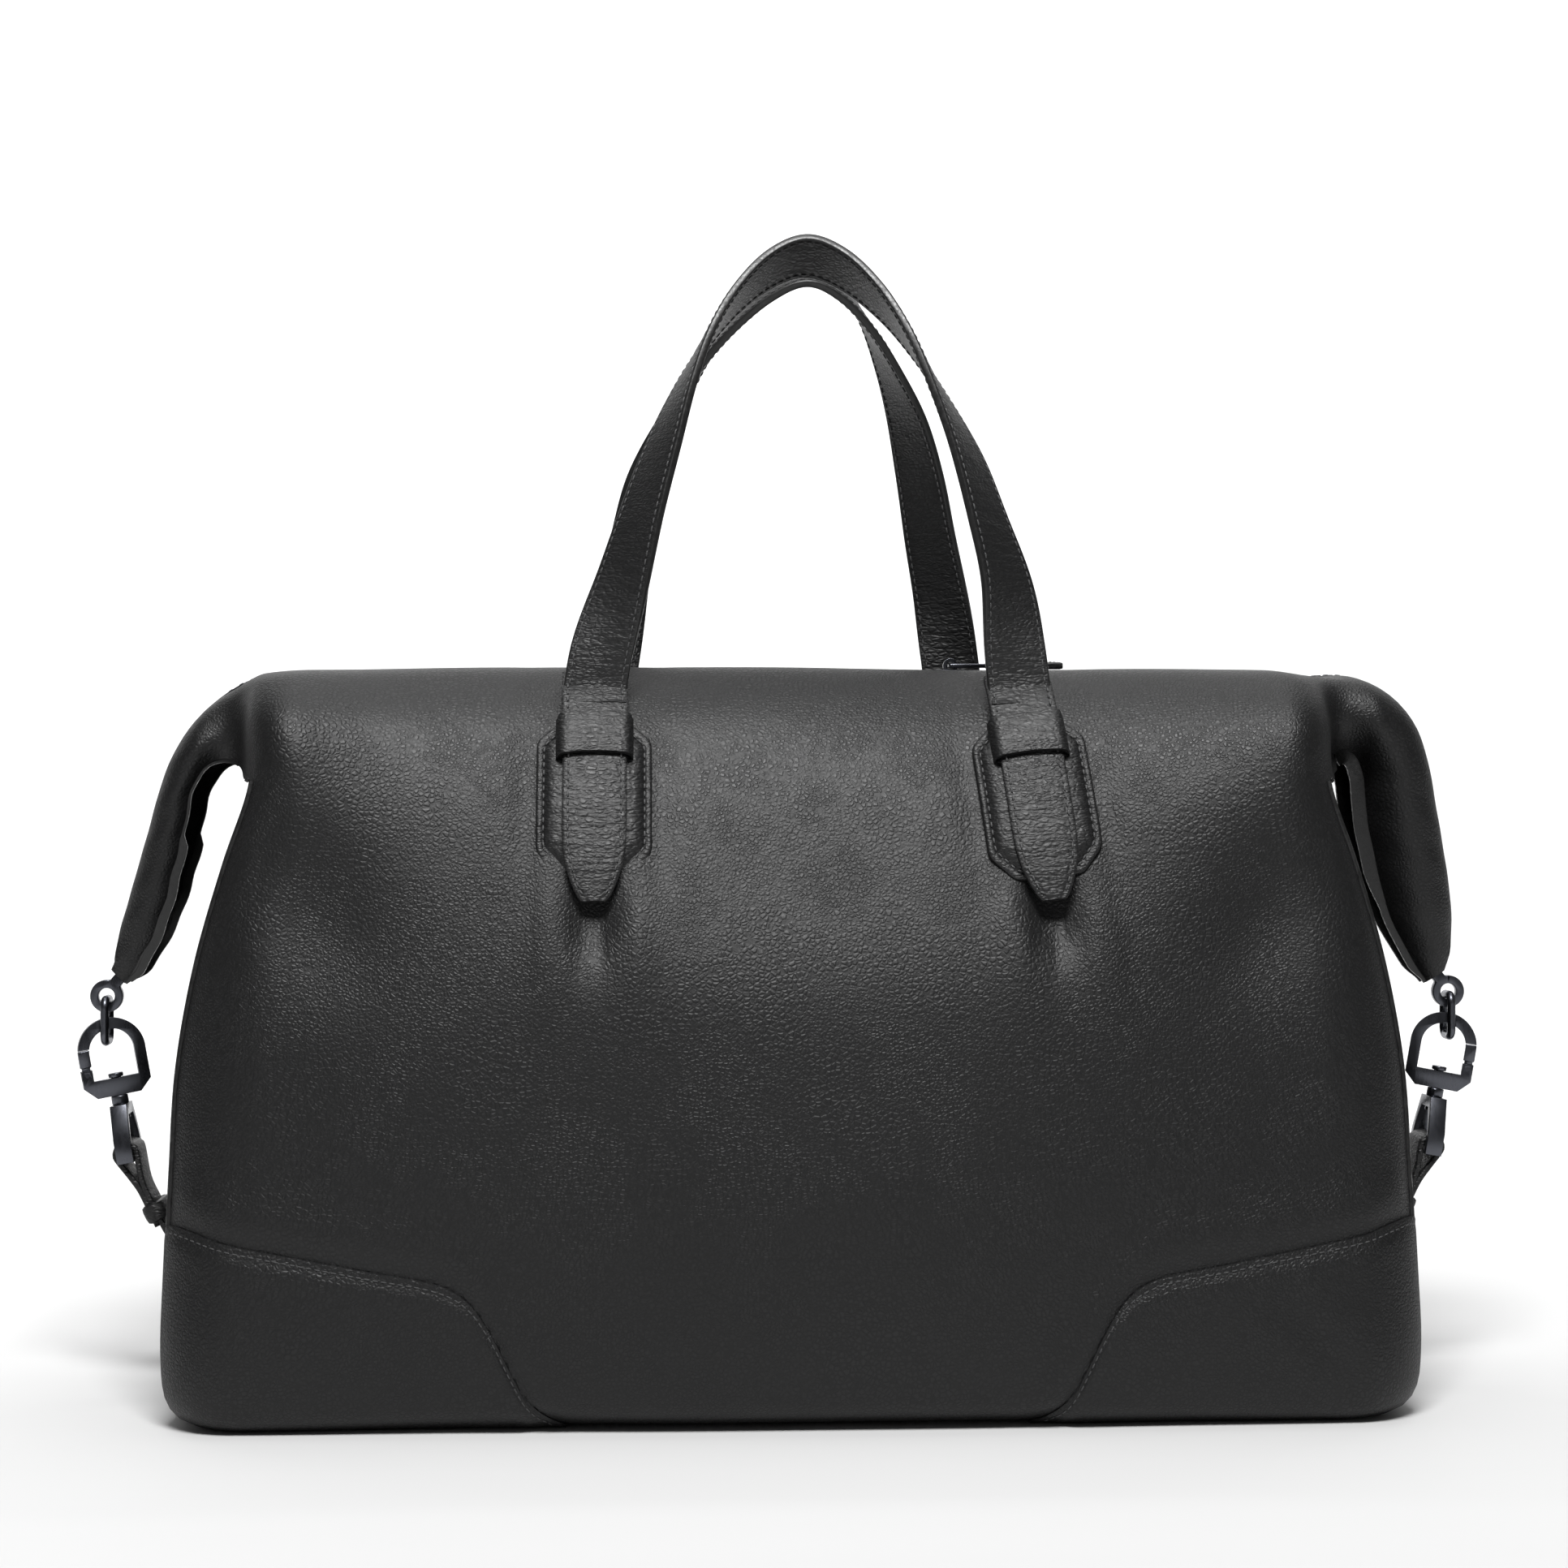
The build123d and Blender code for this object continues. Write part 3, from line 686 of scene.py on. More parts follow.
def relief(s, v, face):
    """How far the leather stands off its smooth shape: dents under the tabs, creases and swells."""
    point = raw_surface(s, v)
    x, z = point[..., 0], point[..., 2]
    fade = smooth((seam_s(v) - np.abs(s)) / 22.0) * smooth((V_TOP - v) / 30.0) * smooth(v / 30.0)
    out = waves(x, z) * 0.85
    for side, lean in ((-1, LEANS["left"]), (1, LEANS["right"])):
        foot = side * FOOT_X[face] + HANDLE_SHIFT[face]
        across = x - foot - (FOOT_Z - z) * math.sin(math.radians(lean))
        out = out - 4.5 * hump(across, 0.0, 9.5) * hump(z, 203.0, 17.0)
        out = out + 1.6 * (hump(across, -17.0, 9.0) + hump(across, 17.0, 9.0)) * hump(z, 194.0, 26.0)
        out = out - 0.5 * hump(z, 196.0, 16.0) * hump(across, 0.0, 22.0) * np.cos(across * 1.1)
        out = out - 1.3 * hump(np.abs(across), 27.0, 6.0) * hump(z, 250.0, 38.0)
    above = z - overlay_height(x)
    reach = smooth((np.abs(x) - 88.0) / 14.0)
    out = out - reach * (1.5 * hump(above, 0.0, 4.5) - 1.2 * hump(above, 13.0, 9.0) * (above > 0))
    out = out + 2.6 * hump(z, 280.0, 24.0) * hump(np.abs(x), 216.0, 30.0)
    out = out - 6.0 * hump(z, 210.0, 38.0) * hump(np.abs(x) - (z - 210.0) * 0.35, 198.0, 30.0)
    out = out + 2.2 * hump(z, 176.0, 34.0) * hump(x, 0.0, 120.0)
    ripple = np.sin((np.abs(x) * 0.75 + z * 0.66) / 4.2) * hump(z, 36.0, 17.0) * hump(x, 205.0, 24.0)
    return (out + 0.55 * ripple) * fade


def surface(s, v, lift=0.0, face="front"):
    """A panel's outer face, drawn at the front and raised along its normal."""
    s, v = np.broadcast_arrays(np.asarray(s, float), np.asarray(v, float))
    step = 0.6
    point = raw_surface(s, v)
    along = raw_surface(s + step, v) - raw_surface(s - step, v)
    up = raw_surface(s, np.minimum(v + step, V_TOP)) - raw_surface(s, np.maximum(v - step, 0.0))
    return point + unit(np.cross(along, up)) * (relief(s, v, face) + lift)[..., None]


# ---------------------------------------------------------------- wings

WING_LINES = {side: spline(rows) for side, rows in WINGS.items()}
ZIP_EDGE = 7.0
INNER_TURN = {"left": math.radians(122.0), "right": math.radians(158.0)}
FOLD_Q = 0.26


def wing_row(q, side):
    """The wing's station at a share of the way along it."""
    line = WING_LINES[side]
    run = lengths(line[:, [0, 1]], 2)
    return np.moveaxis(at(line, np.asarray(q) * run[-1], run), -1, 0)


def wing_section(q, turn_share, side):
    """A point of the wing's front face: q along it, and a share of the way from zip to inner seam."""
    q, turn_share = np.broadcast_arrays(np.asarray(q, float), np.asarray(turn_share, float))
    x, z, slope, across, deep = wing_row(q, side)
    slope = np.radians(slope)
    first = np.arcsin(np.minimum(ZIP_EDGE / deep, 0.9))
    turn = first + (INNER_TURN[side] - first) * turn_share
    rise = across * np.cos(turn)
    rise = rise + 0.45 * np.sin(q * 46.0 + turn * 2.2) * np.sin(turn) ** 2 * smooth((q - 0.15) / 0.2)
    return np.stack([x - np.sin(slope) * rise, -deep * np.sin(turn) ** 0.85,
                     z + np.cos(slope) * rise], axis=-1)


def shoulder_grid(side, rows_v, columns):
    """Rows above the armpit, carried on from the panel's corner into the wing's front face."""
    share = (V_TOP - rows_v) / (V_TOP - V_ARMPIT)
    edge = raw_surface(seam_s(rows_v), rows_v)
    tangent = unit(edge - raw_surface(seam_s(rows_v) - 2.0, rows_v))
    join_q = 0.14 + 0.12 * share
    target = wing_section(join_q, share, side)
    ahead = unit(wing_section(join_q + 0.03, share, side) - target)
    gap = np.linalg.norm(target - edge, axis=-1, keepdims=True)
    t = np.linspace(0.0, 1.0, columns[0])[1:, None, None]
    bridge = ((2 * t ** 3 - 3 * t ** 2 + 1) * edge + (t ** 3 - 2 * t ** 2 + t) * tangent * gap * 1.2
              + (3 * t ** 2 - 2 * t ** 3) * target + (t ** 3 - t ** 2) * ahead * gap * 0.9)
    pocket = smooth(share / 0.75)[None, :, None] * np.sin(math.pi * t) ** 2
    bridge = bridge + pocket * np.array([-5.0, 11.0, 0.0])
    out = [bridge[k] for k in range(len(t))]
    for k in np.linspace(0.0, 1.0, columns[1])[1:]:
        out.append(wing_section(join_q + (WING_TIP - join_q) * k, share, side))
    return np.stack(out, axis=1)


ROWS_LOW = np.linspace(0.0, V_ARMPIT, 84)
ROWS_HIGH = np.linspace(V_ARMPIT, V_TOP, 30)
SHOULDERS = {side: shoulder_grid(side, ROWS_HIGH, (18, 42)) for side in WINGS}


def graded(v, inner, count):
    """Columns from a fixed distance out to the seam."""
    share = np.linspace(0.0, 1.0, count)
    return inner + (seam_s(v)[:, None] - inner) * share[None, :]


def weld(grids):
    """Joins grids that share edges: points, faces of each grid, and normals over the whole."""
    verts, index, out = [], {}, []
    for grid in grids:
        rows, columns = grid.shape[:2]
        ids = np.zeros((rows, columns), int)
        for i in range(rows):
            for j in range(columns):
                key = tuple(np.round(grid[i, j], 2) + 0.0)
                if key not in index:
                    index[key] = len(verts)
                    verts.append(grid[i, j])
                ids[i, j] = index[key]
        faces = []
        for i in range(rows - 1):
            for j in range(columns - 1):
                quad = (ids[i, j], ids[i, j + 1], ids[i + 1, j + 1], ids[i + 1, j])
                if len(set(quad)) == 4:
                    faces.append(tuple(int(k) for k in quad))
        out.append(faces)
    verts = np.array(verts)
    every = [face for faces in out for face in faces]
    return verts, out, vertex_normals(verts, every)


def split_normals(piece, normals):
    """Keeps given normals at the outer face's points, so that a join of two pieces can't be seen."""
    mesh = piece.data
    current = np.empty(len(mesh.vertices) * 3)
    mesh.vertices.foreach_get("normal", current)
    current = current.reshape(-1, 3)
    count = len(normals)
    current[:count] = normals
    mesh.normals_split_custom_set_from_vertices(current.tolist())


def weld(grids):
    """Joins grids that share edges: points, faces of each grid, and normals over the whole."""
    verts, index, out = [], {}, []
    for grid in grids:
        rows, columns = grid.shape[:2]
        ids = np.zeros((rows, columns), int)
        for i in range(rows):
            for j in range(columns):
                key = tuple(np.round(grid[i, j], 2) + 0.0)
                if key not in index:
                    index[key] = len(verts)
                    verts.append(grid[i, j])
                ids[i, j] = index[key]
        faces = []
        for i in range(rows - 1):
            for j in range(columns - 1):
                quad = (ids[i, j], ids[i, j + 1], ids[i + 1, j + 1], ids[i + 1, j])
                if len(set(quad)) == 4:
                    faces.append(tuple(int(k) for k in quad))
        out.append(faces)
    verts = np.array(verts)
    every = [face for faces in out for face in faces]
    return verts, out, vertex_normals(verts, every)


def skin(name, verts, faces, normals, material, thickness=LEATHER, lift=0.0):
    """A closed sheet cut from a larger surface, keeping that surface's normals on its outer face."""
    used = sorted({k for face in faces for k in face})
    place = {k: n for n, k in enumerate(used)}
    faces = [tuple(place[k] for k in face) for face in faces]
    normal = normals[used]
    outer = verts[used] + normal * lift
    inner = outer - normal * thickness
    edges = {(a, b) for face in faces for a, b in zip(face, face[1:] + face[:1])}
    rim = [(a, b) for a, b in edges if (b, a) not in edges]
    count = len(outer)
    out_dir = {}
    for a, b in rim:
        side = np.cross(outer[b] - outer[a], normal[a])
        for k in (a, b):
            out_dir[k] = out_dir.get(k, 0) + side
    roll, middle = {}, []
    for k in sorted(out_dir):
        roll[k] = 2 * count + len(middle)
        middle.append(outer[k] - normal[k] * thickness / 2 + unit(out_dir[k]) * thickness * 0.3)
    solid = list(faces) + [tuple(count + k for k in reversed(face)) for face in faces]
    for a, b in sorted(rim):
        solid.append((b, a, roll[a], roll[b]))
        solid.append((roll[b], roll[a], count + a, count + b))
    points = np.vstack([outer, inner, np.array(middle).reshape(-1, 3)])
    piece = make_piece(name, points, solid, material, 50.0)
    return piece, normal


def drawn_half(side, face):
    """Which half of the front drawing a side copies: the back is the front after half a turn."""
    sign = 1.0 if side == "right" else -1.0
    return sign if face == "front" else -sign


def placed(points, side, face):
    """Right-hand front points carried to a side of a face."""
    return points * np.array([1.0 if side == "right" else -1.0, 1.0 if face == "front" else -1.0, 1.0])


def half_face(side, face):
    """One half of a face: its middle, its end below the armpit, and the shoulder with the wing."""
    half = drawn_half(side, face)
    middle = np.linspace(0.0, SPLIT, 54)
    rows = np.concatenate([ROWS_LOW, ROWS_HIGH[1:]])
    plain = np.array([half, 1.0, 1.0])
    grids = [
        surface(half * np.broadcast_to(middle, (len(rows), len(middle))), rows[:, None], face=face)
        * plain,
        surface(half * graded(ROWS_LOW, SPLIT, 24), ROWS_LOW[:, None], face=face) * plain,
        surface(half * graded(ROWS_HIGH, SPLIT, 24), ROWS_HIGH[:, None], face=face) * plain,
    ]
    grids[2] = np.concatenate([grids[2], SHOULDERS[side]], axis=1)
    grids = [placed(grid, side, face) for grid in grids]
    return [grid[:, ::-1] for grid in grids] if side == "left" else grids


def outward(normals, faces, direction, count=None):
    """Turns normals and faces to face a direction on the whole, judged by the first count points."""
    if (normals[:count] @ np.asarray(direction)).mean() < 0:
        return -normals, [[tuple(reversed(f)) for f in group] for group in faces]
    return normals, faces


def build_face(face):
    """One whole face of the bag as a static panel and the two shoulders with their wing faces."""
    verts, faces, normals = weld(half_face("right", face) + half_face("left", face))
    normals, faces = outward(normals, faces, (0.0, -1.0 if face == "front" else 1.0, 0.0))
    panel, kept = skin(f"panel_{face}_leather", verts, faces[0] + faces[1] + faces[3] + faces[4],
                       normals, GRAIN)
    split_normals(panel, kept)
    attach(panel, BODY)
    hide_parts(f"panel_{face}")
    for group, side in ((faces[2], "right"), (faces[5], "left")):
        wing, kept = skin(f"wing_{face}_leather_{side}", verts, group, normals, GRAIN, 1.6)
        split_normals(wing, kept)
        blend_wing(wing, side)
        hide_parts(f"wing_face_{face}_{side}")


def blend_wing(piece, side):
    """Joins a soft piece to the body at its root and to the wing beyond the shoulder."""
    sign = 1.0 if side == "right" else -1.0
    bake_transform(piece, BODY, f"wing_{side}", start=(sign * 0.2195, 0.0, 0.29),
             end=(sign * 0.248, 0.0, 0.29))


build_face("front")
build_face("back")


# ---------------------------------------------------------------- gussets, base, lining

def at_side(points, side):
    """Right-hand points carried to the named side."""
    return np.asarray(points) if side == "right" else reflected(points)


# Points across a gusset's rows, and how many of its rows show which way it faces
GUSSET_COLUMNS = 29
FACING_ROWS = 40


def gusset_rows(seam, offset, sharp, columns=GUSSET_COLUMNS):
    """Rows from the front seam to the back one, pushed in or out along the middle."""
    share = np.linspace(-1.0, 1.0, columns)
    shape = 1.0 - np.abs(share)[None, :] ** sharp[:, None]
    y = np.sign(share)[None, :] * np.abs(share)[None, :] * np.abs(seam[:, 1])[:, None]
    grid = np.empty((len(seam), columns, 3))
    grid[..., 0] = seam[:, 0][:, None] + offset[:, 0][:, None] * shape
    grid[..., 1] = y
    grid[..., 2] = seam[:, 2][:, None] + offset[:, 2][:, None] * shape
    return grid


def gusset_grids(side):
    """The end of the bag below the armpit, and the fold that runs on inside the wing."""
    low = raw_surface(seam_s(ROWS_LOW), ROWS_LOW)
    z = low[:, 2]
    push = np.interp(z, [0, 20, 70, 130, 180, 215, 240, ARMPIT_Z],
                     [0.5, 3.0, 5.5, 3.0, -2.5, -9.0, -18.0, -27.0])
    sharp = np.interp(z, [0, 150, 220, ARMPIT_Z], [2.6, 2.4, 1.7, 1.25])
    offset = np.stack([push, 0 * push, 0 * push], axis=1)
    grid_low = gusset_rows(low, offset, sharp)
    edge = SHOULDERS[side][0]
    wing_steps = np.linspace(0.0, 1.0, len(edge))
    bend = smooth(wing_steps / 0.30)[:, None]
    q = FOLD_Q + (WING_TIP - FOLD_Q) * np.clip((wing_steps - 0.28) / 0.72, 0, 1)
    row = wing_row(q, side)
    slope = np.radians(row[2])
    tuck = 1.25 * row[3]
    inward = np.stack([-np.sin(slope) * tuck, 0 * tuck, np.cos(slope) * tuck], axis=1)
    start = np.array([-27.0, 0.0, 0.0])
    crest = np.array([-12.0, 0.0, 13.0]) * (4 * bend * (1 - bend))
    grid_wing = gusset_rows(edge, start * (1 - bend) + crest + inward * bend, 1.25 - 0.05 * wing_steps)
    return grid_low, grid_wing


def build_gussets():
    """Both ends of the bag, with the folds that move with the wings."""
    for side in ("left", "right"):
        low, fold = gusset_grids(side)
        verts, faces, normals = weld([at_side(low, side), at_side(fold, side)])
        normals, faces = outward(normals, faces, (1.0 if side == "right" else -1.0, 0.0, 0.0),
                                 GUSSET_COLUMNS * FACING_ROWS)
        end, kept = skin(f"gusset_leather_{side}", verts, faces[0], normals, GRAIN, 1.8)
        split_normals(end, kept)
        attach(end, BODY)
        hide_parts(f"gusset_{side}")
        inner, kept = skin(f"wing_fold_leather_{side}", verts, faces[1], normals, GRAIN, 1.2)
        split_normals(inner, kept)
        blend_wing(inner, side)
        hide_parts(f"wing_gusset_{side}")
        seam = raw_surface(seam_s(ROWS_LOW), ROWS_LOW)
        both = [seam, seam * np.array([1.0, -1.0, 1.0])]
        welts = merged([tube_along(at_side(resample(line, 120), side), 1.3) for line in both])
        welts[0][:, 2] = np.maximum(welts[0][:, 2], 0.1)
        piping = make_piece(f"seam_welt_{side}", *welts, EDGE)
        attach(piping, BODY)
        edge = SHOULDERS[side][0]
        both = [edge, edge * np.array([1.0, -1.0, 1.0])]
        fins = []
        for line in both:
            line = resample(line, 70)
            share = np.linspace(0.0, 1.0, len(line))
            width = 0.7 + 2.0 * smooth((share - 0.55) / 0.03) * smooth((1.0 - share) / 0.06)
            if side == "right":
                width = np.maximum(width, 0.9 + 4.8 * smooth((share - 0.10) / 0.12)
                                   * smooth((0.86 - share) / 0.2))
            fins.append(fin(at_side(line, side), width, side))
        seam_edge = make_piece(f"wing_seam_{side}", *merged(fins), EDGE)
        blend_wing(seam_edge, side)


def fin(line, width, side):
    """A narrow trimmed seam allowance standing off an edge, towards the bag."""
    tangent = unit(np.gradient(line, axis=0))
    side_ways = np.array([0.0, 1.0, 0.0])
    inward = unit(np.cross(tangent, side_ways))
    towards = np.array([-1.0 if side == "right" else 1.0, 0.0, -0.6])
    inward = inward * np.sign(np.sum(inward * towards, axis=1, keepdims=True))
    verts = []
    for p, n, w in zip(line, inward, width):
        for a, b in ((-0.8, -0.6), (0.8, -0.6), (1.0, 0.2), (0.8, 1.0), (-0.8, 1.0), (-1.0, 0.2)):
            verts.append(p + side_ways * a * 1.1 + n * b * w)
    faces = grid_faces(len(line), 6, closed=True)
    faces += [tuple(range(6)), tuple(range((len(line) - 1) * 6, len(line) * 6))]
    return np.array(verts), faces


def build_base():
    """The flat leather sole between the panels, under the board and the cloth lining."""
    first = raw_surface(seam_s(0.0), 0.0)
    half_x, half_y = first[0], -first[1]
    xs = np.linspace(-half_x - 4.0, half_x + 4.0, 60)
    ys = np.linspace(-92.0, 92.0, 26)
    grid = np.empty((len(ys), len(xs), 3))
    for i, y in enumerate(ys):
        for j, x in enumerate(xs):
            corner = smooth((abs(x) - half_x + 10) / 16) + smooth((abs(y) - half_y + 4) / 6)
            grid[i, j] = (x, y, 0.9 + 0.5 * corner)
    verts, faces, normals = weld([grid])
    normals, faces = outward(normals, faces, (0.0, 0.0, -1.0))
    sole, _ = skin("base_leather", verts, faces[0], normals, GRAIN, 1.8)
    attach(sole, BODY)
    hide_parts("base_panel")


def build_lining():
    """A loose cloth bag hanging inside the leather."""
    rows = np.linspace(12.0, V_TOP - 6.0, 60)
    share = np.linspace(-0.965, 0.965, 70)
    front = surface(seam_s(rows)[:, None] * share[None, :], rows[:, None], -4.2)
    back = half_turn(front)
    ends = []
    for index, sign in ((-1, 1.0), (0, -1.0)):
        edge = front[:, index]
        keep = edge[:, 2] < ARMPIT_Z - 6.0
        line = edge[keep]
        height = line[:, 2]
        push = np.interp(height, [0, 70, 130, 180, 215, 240, ARMPIT_Z],
                         [0, 1, -1, -8, -16, -26, -34]) * sign
        across = np.linspace(-1.0, 1.0, 24)
        grid = np.empty((len(line), 24, 3))
        grid[..., 0] = line[:, 0][:, None] + push[:, None] * (1 - np.abs(across) ** 1.5)
        grid[..., 1] = -across * line[:, 1][:, None] * -1.0
        grid[..., 2] = height[:, None]
        ends.append(grid)
    bottom = np.stack([front[0] + (back[0][::-1] - front[0]) * k for k in np.linspace(0, 1, 12)],
                      axis=0)
    bottom[..., 2] = 9.6
    pieces = []
    for grid in (front, back, bottom, *ends):
        verts, faces, normals = weld([grid])
        pieces.append(closed_sheet(verts, faces[0], normals, 0.5))
    cloth = make_piece("lining_cloth", *merged(pieces), CLOTH)
    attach(cloth, BODY)
    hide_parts("lining")


def closed_sheet(verts, faces, normals, thickness):
    """Points and faces of a sheet with two faces and a plain rim."""
    count = len(verts)
    edges = {(a, b) for face in faces for a, b in zip(face, face[1:] + face[:1])}
    solid = list(faces) + [tuple(count + k for k in reversed(face)) for face in faces]
    solid += [(b, a, count + a, count + b) for a, b in sorted(edges) if (b, a) not in edges]
    return np.vstack([verts, verts - normals * thickness]), solid


def overlay_grid(sign, face, rows=26, columns=96):
    """A corner overlay's outer face, from the bag's foot up to its curved edge."""
    share = np.linspace(0.0, 1.0, columns)
    low = 8.0
    s = 93.0 + (seam_s(np.full(columns, 60.0)) - 93.0) * share
    for _ in range(3):
        top = v_at(np.minimum(s, 252.0), overlay_height(np.minimum(s, 252.0)))
        s = 93.0 + (seam_s(top) - 93.0) * share
    grid = np.empty((rows, columns, 3))
    top = np.maximum(top, low + 1.5)
    base = low - 6.0
    place = []
    for i, t in enumerate(np.linspace(0.0, 1.0, rows)):
        t = 1.0 - (1.0 - t) ** 1.35
        v = base + (top - base) * t
        s_here = 93.0 + (seam_s(v) - 93.0) * share
        edge_gap = np.minimum(top - v, (s_here - 90.0) * 0.8)
        groove = 0.35 * hump(edge_gap, 2.6, 0.8)
        roll = 0.35 * smooth(1.0 - edge_gap / 1.2)
        place.append((s_here, v))
        grid[i] = surface(sign * s_here, v, 1.6 - groove - roll, face)
    return grid, place, top


def build_overlays():
    """Four leather corners, each with a stitched line just inside its edge."""
    for face in ("front", "back"):
        for side in ("left", "right"):
            half = drawn_half(side, face)
            plain = np.array([half, 1.0, 1.0])
            grid, place, top = overlay_grid(half, face)
            grid = grid.copy()
            grid[..., 2] = np.maximum(grid[..., 2], 0.15)
            verts, faces, normals = weld([placed(grid * plain, side, face)])
            normals, faces = outward(normals, faces, (0.0, -1.0 if face == "front" else 1.0, 0.0))
            corner, _ = skin(f"corner_leather_{face}_{side}", verts, faces[0], normals, GRAIN, 1.7)
            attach(corner, BODY)
            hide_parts(f"corner_overlay_{face}_{side}")
            s_line = half * place[-1][0][3:-2]
            v_line = top[3:-2] - 2.6
            line = placed(surface(s_line, v_line, 1.35, face) * plain, side, face)
            up = placed(surface(s_line, v_line, 4.0, face) * plain, side, face) - line
            threads = make_piece(f"corner_stitch_{face}_{side}",
                                 *stitch_row(line, up, *FINE_STITCH), THREAD)
            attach(threads, BODY)


build_gussets()
build_base()
build_lining()
build_overlays()


# ---------------------------------------------------------------- handle attachments

def paint_faces(piece, faces, material):
    """Gives some of a piece's faces a second material."""
    piece.data.materials.append(material)
    for k in faces:
        piece.data.polygons[k].material_index = 1


def leaned(across, height, side, face):
    """Front-view X and Z of a point given across and up the handle's foot, which may lean."""
    turn = math.radians(LEANS[side])
    foot = (FOOT_X[face] if side == "right" else -FOOT_X[face]) + HANDLE_SHIFT[face]
    down = np.asarray(height) - FOOT_Z
    x = foot + np.asarray(across) * math.cos(turn) - down * math.sin(turn)
    z = FOOT_Z + np.asarray(across) * math.sin(turn) + down * math.cos(turn)
    return x, z


def on_foot(across, height, side, face, lift):
    """Points above the panel at a handle's foot, drawn at the front."""
    x, z = leaned(across, height, side, face)
    point, normal = foot_plane(x, z)
    return point + normal * np.asarray(lift)[..., None], normal


def foot_plane(x, z):
    """The smooth panel surface and its normal, without dents."""
    v = v_at(x, z)
    point = raw_surface(x, v)
    step = 2.0
    along = raw_surface(np.asarray(x) + step, v) - raw_surface(np.asarray(x) - step, v)
    up = raw_surface(x, v + step) - raw_surface(x, v - step)
    return point, unit(np.cross(along, up))


def rounded_outline(points, count=132, soften_by=5):
    """A closed outline at even spacing, with its corners eased."""
    loop = np.vstack([points, points[:1]])
    line = resample(np.hstack([loop, np.zeros((len(loop), 1))]), count + 1)[:-1, :2]
    weights = np.hanning(soften_by + 2)[1:-1]
    weights /= weights.sum()
    half = soften_by // 2
    return sum(np.roll(line, k - half, axis=0) * weights[k] for k in range(soften_by))


PATCH_OUTLINE = rounded_outline(np.array([
    (11.5, 284.0), (23.5, 274.0), (23.5, 229.0), (14.0, 218.6),
    (-14.0, 218.6), (-23.5, 229.0), (-23.5, 274.0), (-11.5, 284.0)]))
PATCH_MIDDLE = np.array([0.0, 251.5])
PATCH_STEPS = [(0.0, 0.9), (0.35, 1.5), (0.9, 1.75), (1.8, 1.85), (2.5, 1.55), (3.0, 1.30),
               (3.5, 1.65), (4.3, 2.5),
               (5.6, 3.3), (7.5, 3.8), (10.5, 4.1), (14.0, 4.3), (18.0, 4.4), (22.0, 4.4)]
TAB_WIDTHS = np.array([(208.5, 5.0), (211.0, 6.9), (216.0, 9.3), (222.0, 11.4), (230.0, 12.8),
                       (240.0, 13.1),
                       (298.0, 13.0)])
TAB_LIFT = np.array([(208.0, 3.3), (214.0, 3.9), (222.0, 4.6), (232.0, 4.9), (262.0, 5.0),
                     (298.0, 4.8)])


def creases(w, u, seed):
    """Fine creases across a strap that has been bent."""
    return (np.sin(w * 2.05 + 1.1 * np.sin(u * 0.21 + seed) + seed)
            * (0.55 + 0.45 * np.sin(w * 0.31 + seed * 2))
            + 0.7 * np.sin(w * 3.3 + 0.9 * np.sin(u * 0.33 + 2 * seed) + 2.0)
            * np.sin(w * 0.23 + u * 0.12 + seed))


def stack(name, side, face, rings, material):
    """A raised leather piece from rings of (across, height, lift), closed below, on one face."""
    verts = []
    for ring in rings:
        point, _ = on_foot(ring[:, 0], ring[:, 1], side, face, ring[:, 2])
        verts.append(point)
    count = len(rings[0])
    faces = grid_faces(len(rings), count, closed=True)
    faces.append(tuple(range(count)))
    faces.append(tuple(range((len(rings) - 1) * count, len(rings) * count)))
    return make_piece(name, facing(np.vstack(verts), face), faces, material, 40.0)


def facing(points, face):
    """Front points carried to a face of the bag."""
    return points if face == "front" else half_turn(points)


def patch_rings():
    """Rings of the padded patch: up its cut edge, over the stitched margin and on to the padding."""
    out = [np.hstack([PATCH_OUTLINE, np.full((len(PATCH_OUTLINE), 1), -1.0)])]
    for inset, lift in PATCH_STEPS:
        scale = 1.0 - inset / np.array([23.5, 32.5])
        ring = PATCH_MIDDLE + (PATCH_OUTLINE - PATCH_MIDDLE) * scale
        puff = 0.12 * np.sin(ring[:, 1] * 0.9) * (inset > 4.0)
        out.append(np.hstack([ring, (lift + puff)[:, None]]))
    return out


def strip_grid(heights, halves, lifts, columns=21, edge_drop=0.5, seed=0.0, rough=0.13):
    """Across, height and lift of a strip's outer face, with a stitched groove near each side."""
    share = np.linspace(-1.0, 1.0, columns)
    share = np.sign(share) * (1 - (1 - np.abs(share)) ** 1.25)
    across = halves[:, None] * share[None, :]
    up = np.broadcast_to(heights[:, None], across.shape)
    gap = halves[:, None] - np.abs(across)
    lift = lifts[:, None] + 0.35 * (1 - share[None, :] ** 2) - edge_drop * smooth(1 - gap / 1.0)
    lift = lift - 0.30 * hump(gap, 2.3, 0.7) + rough * creases(up, across,
                                                               seed) * smooth((gap - 2.5) / 2.0)
    return across, up, lift


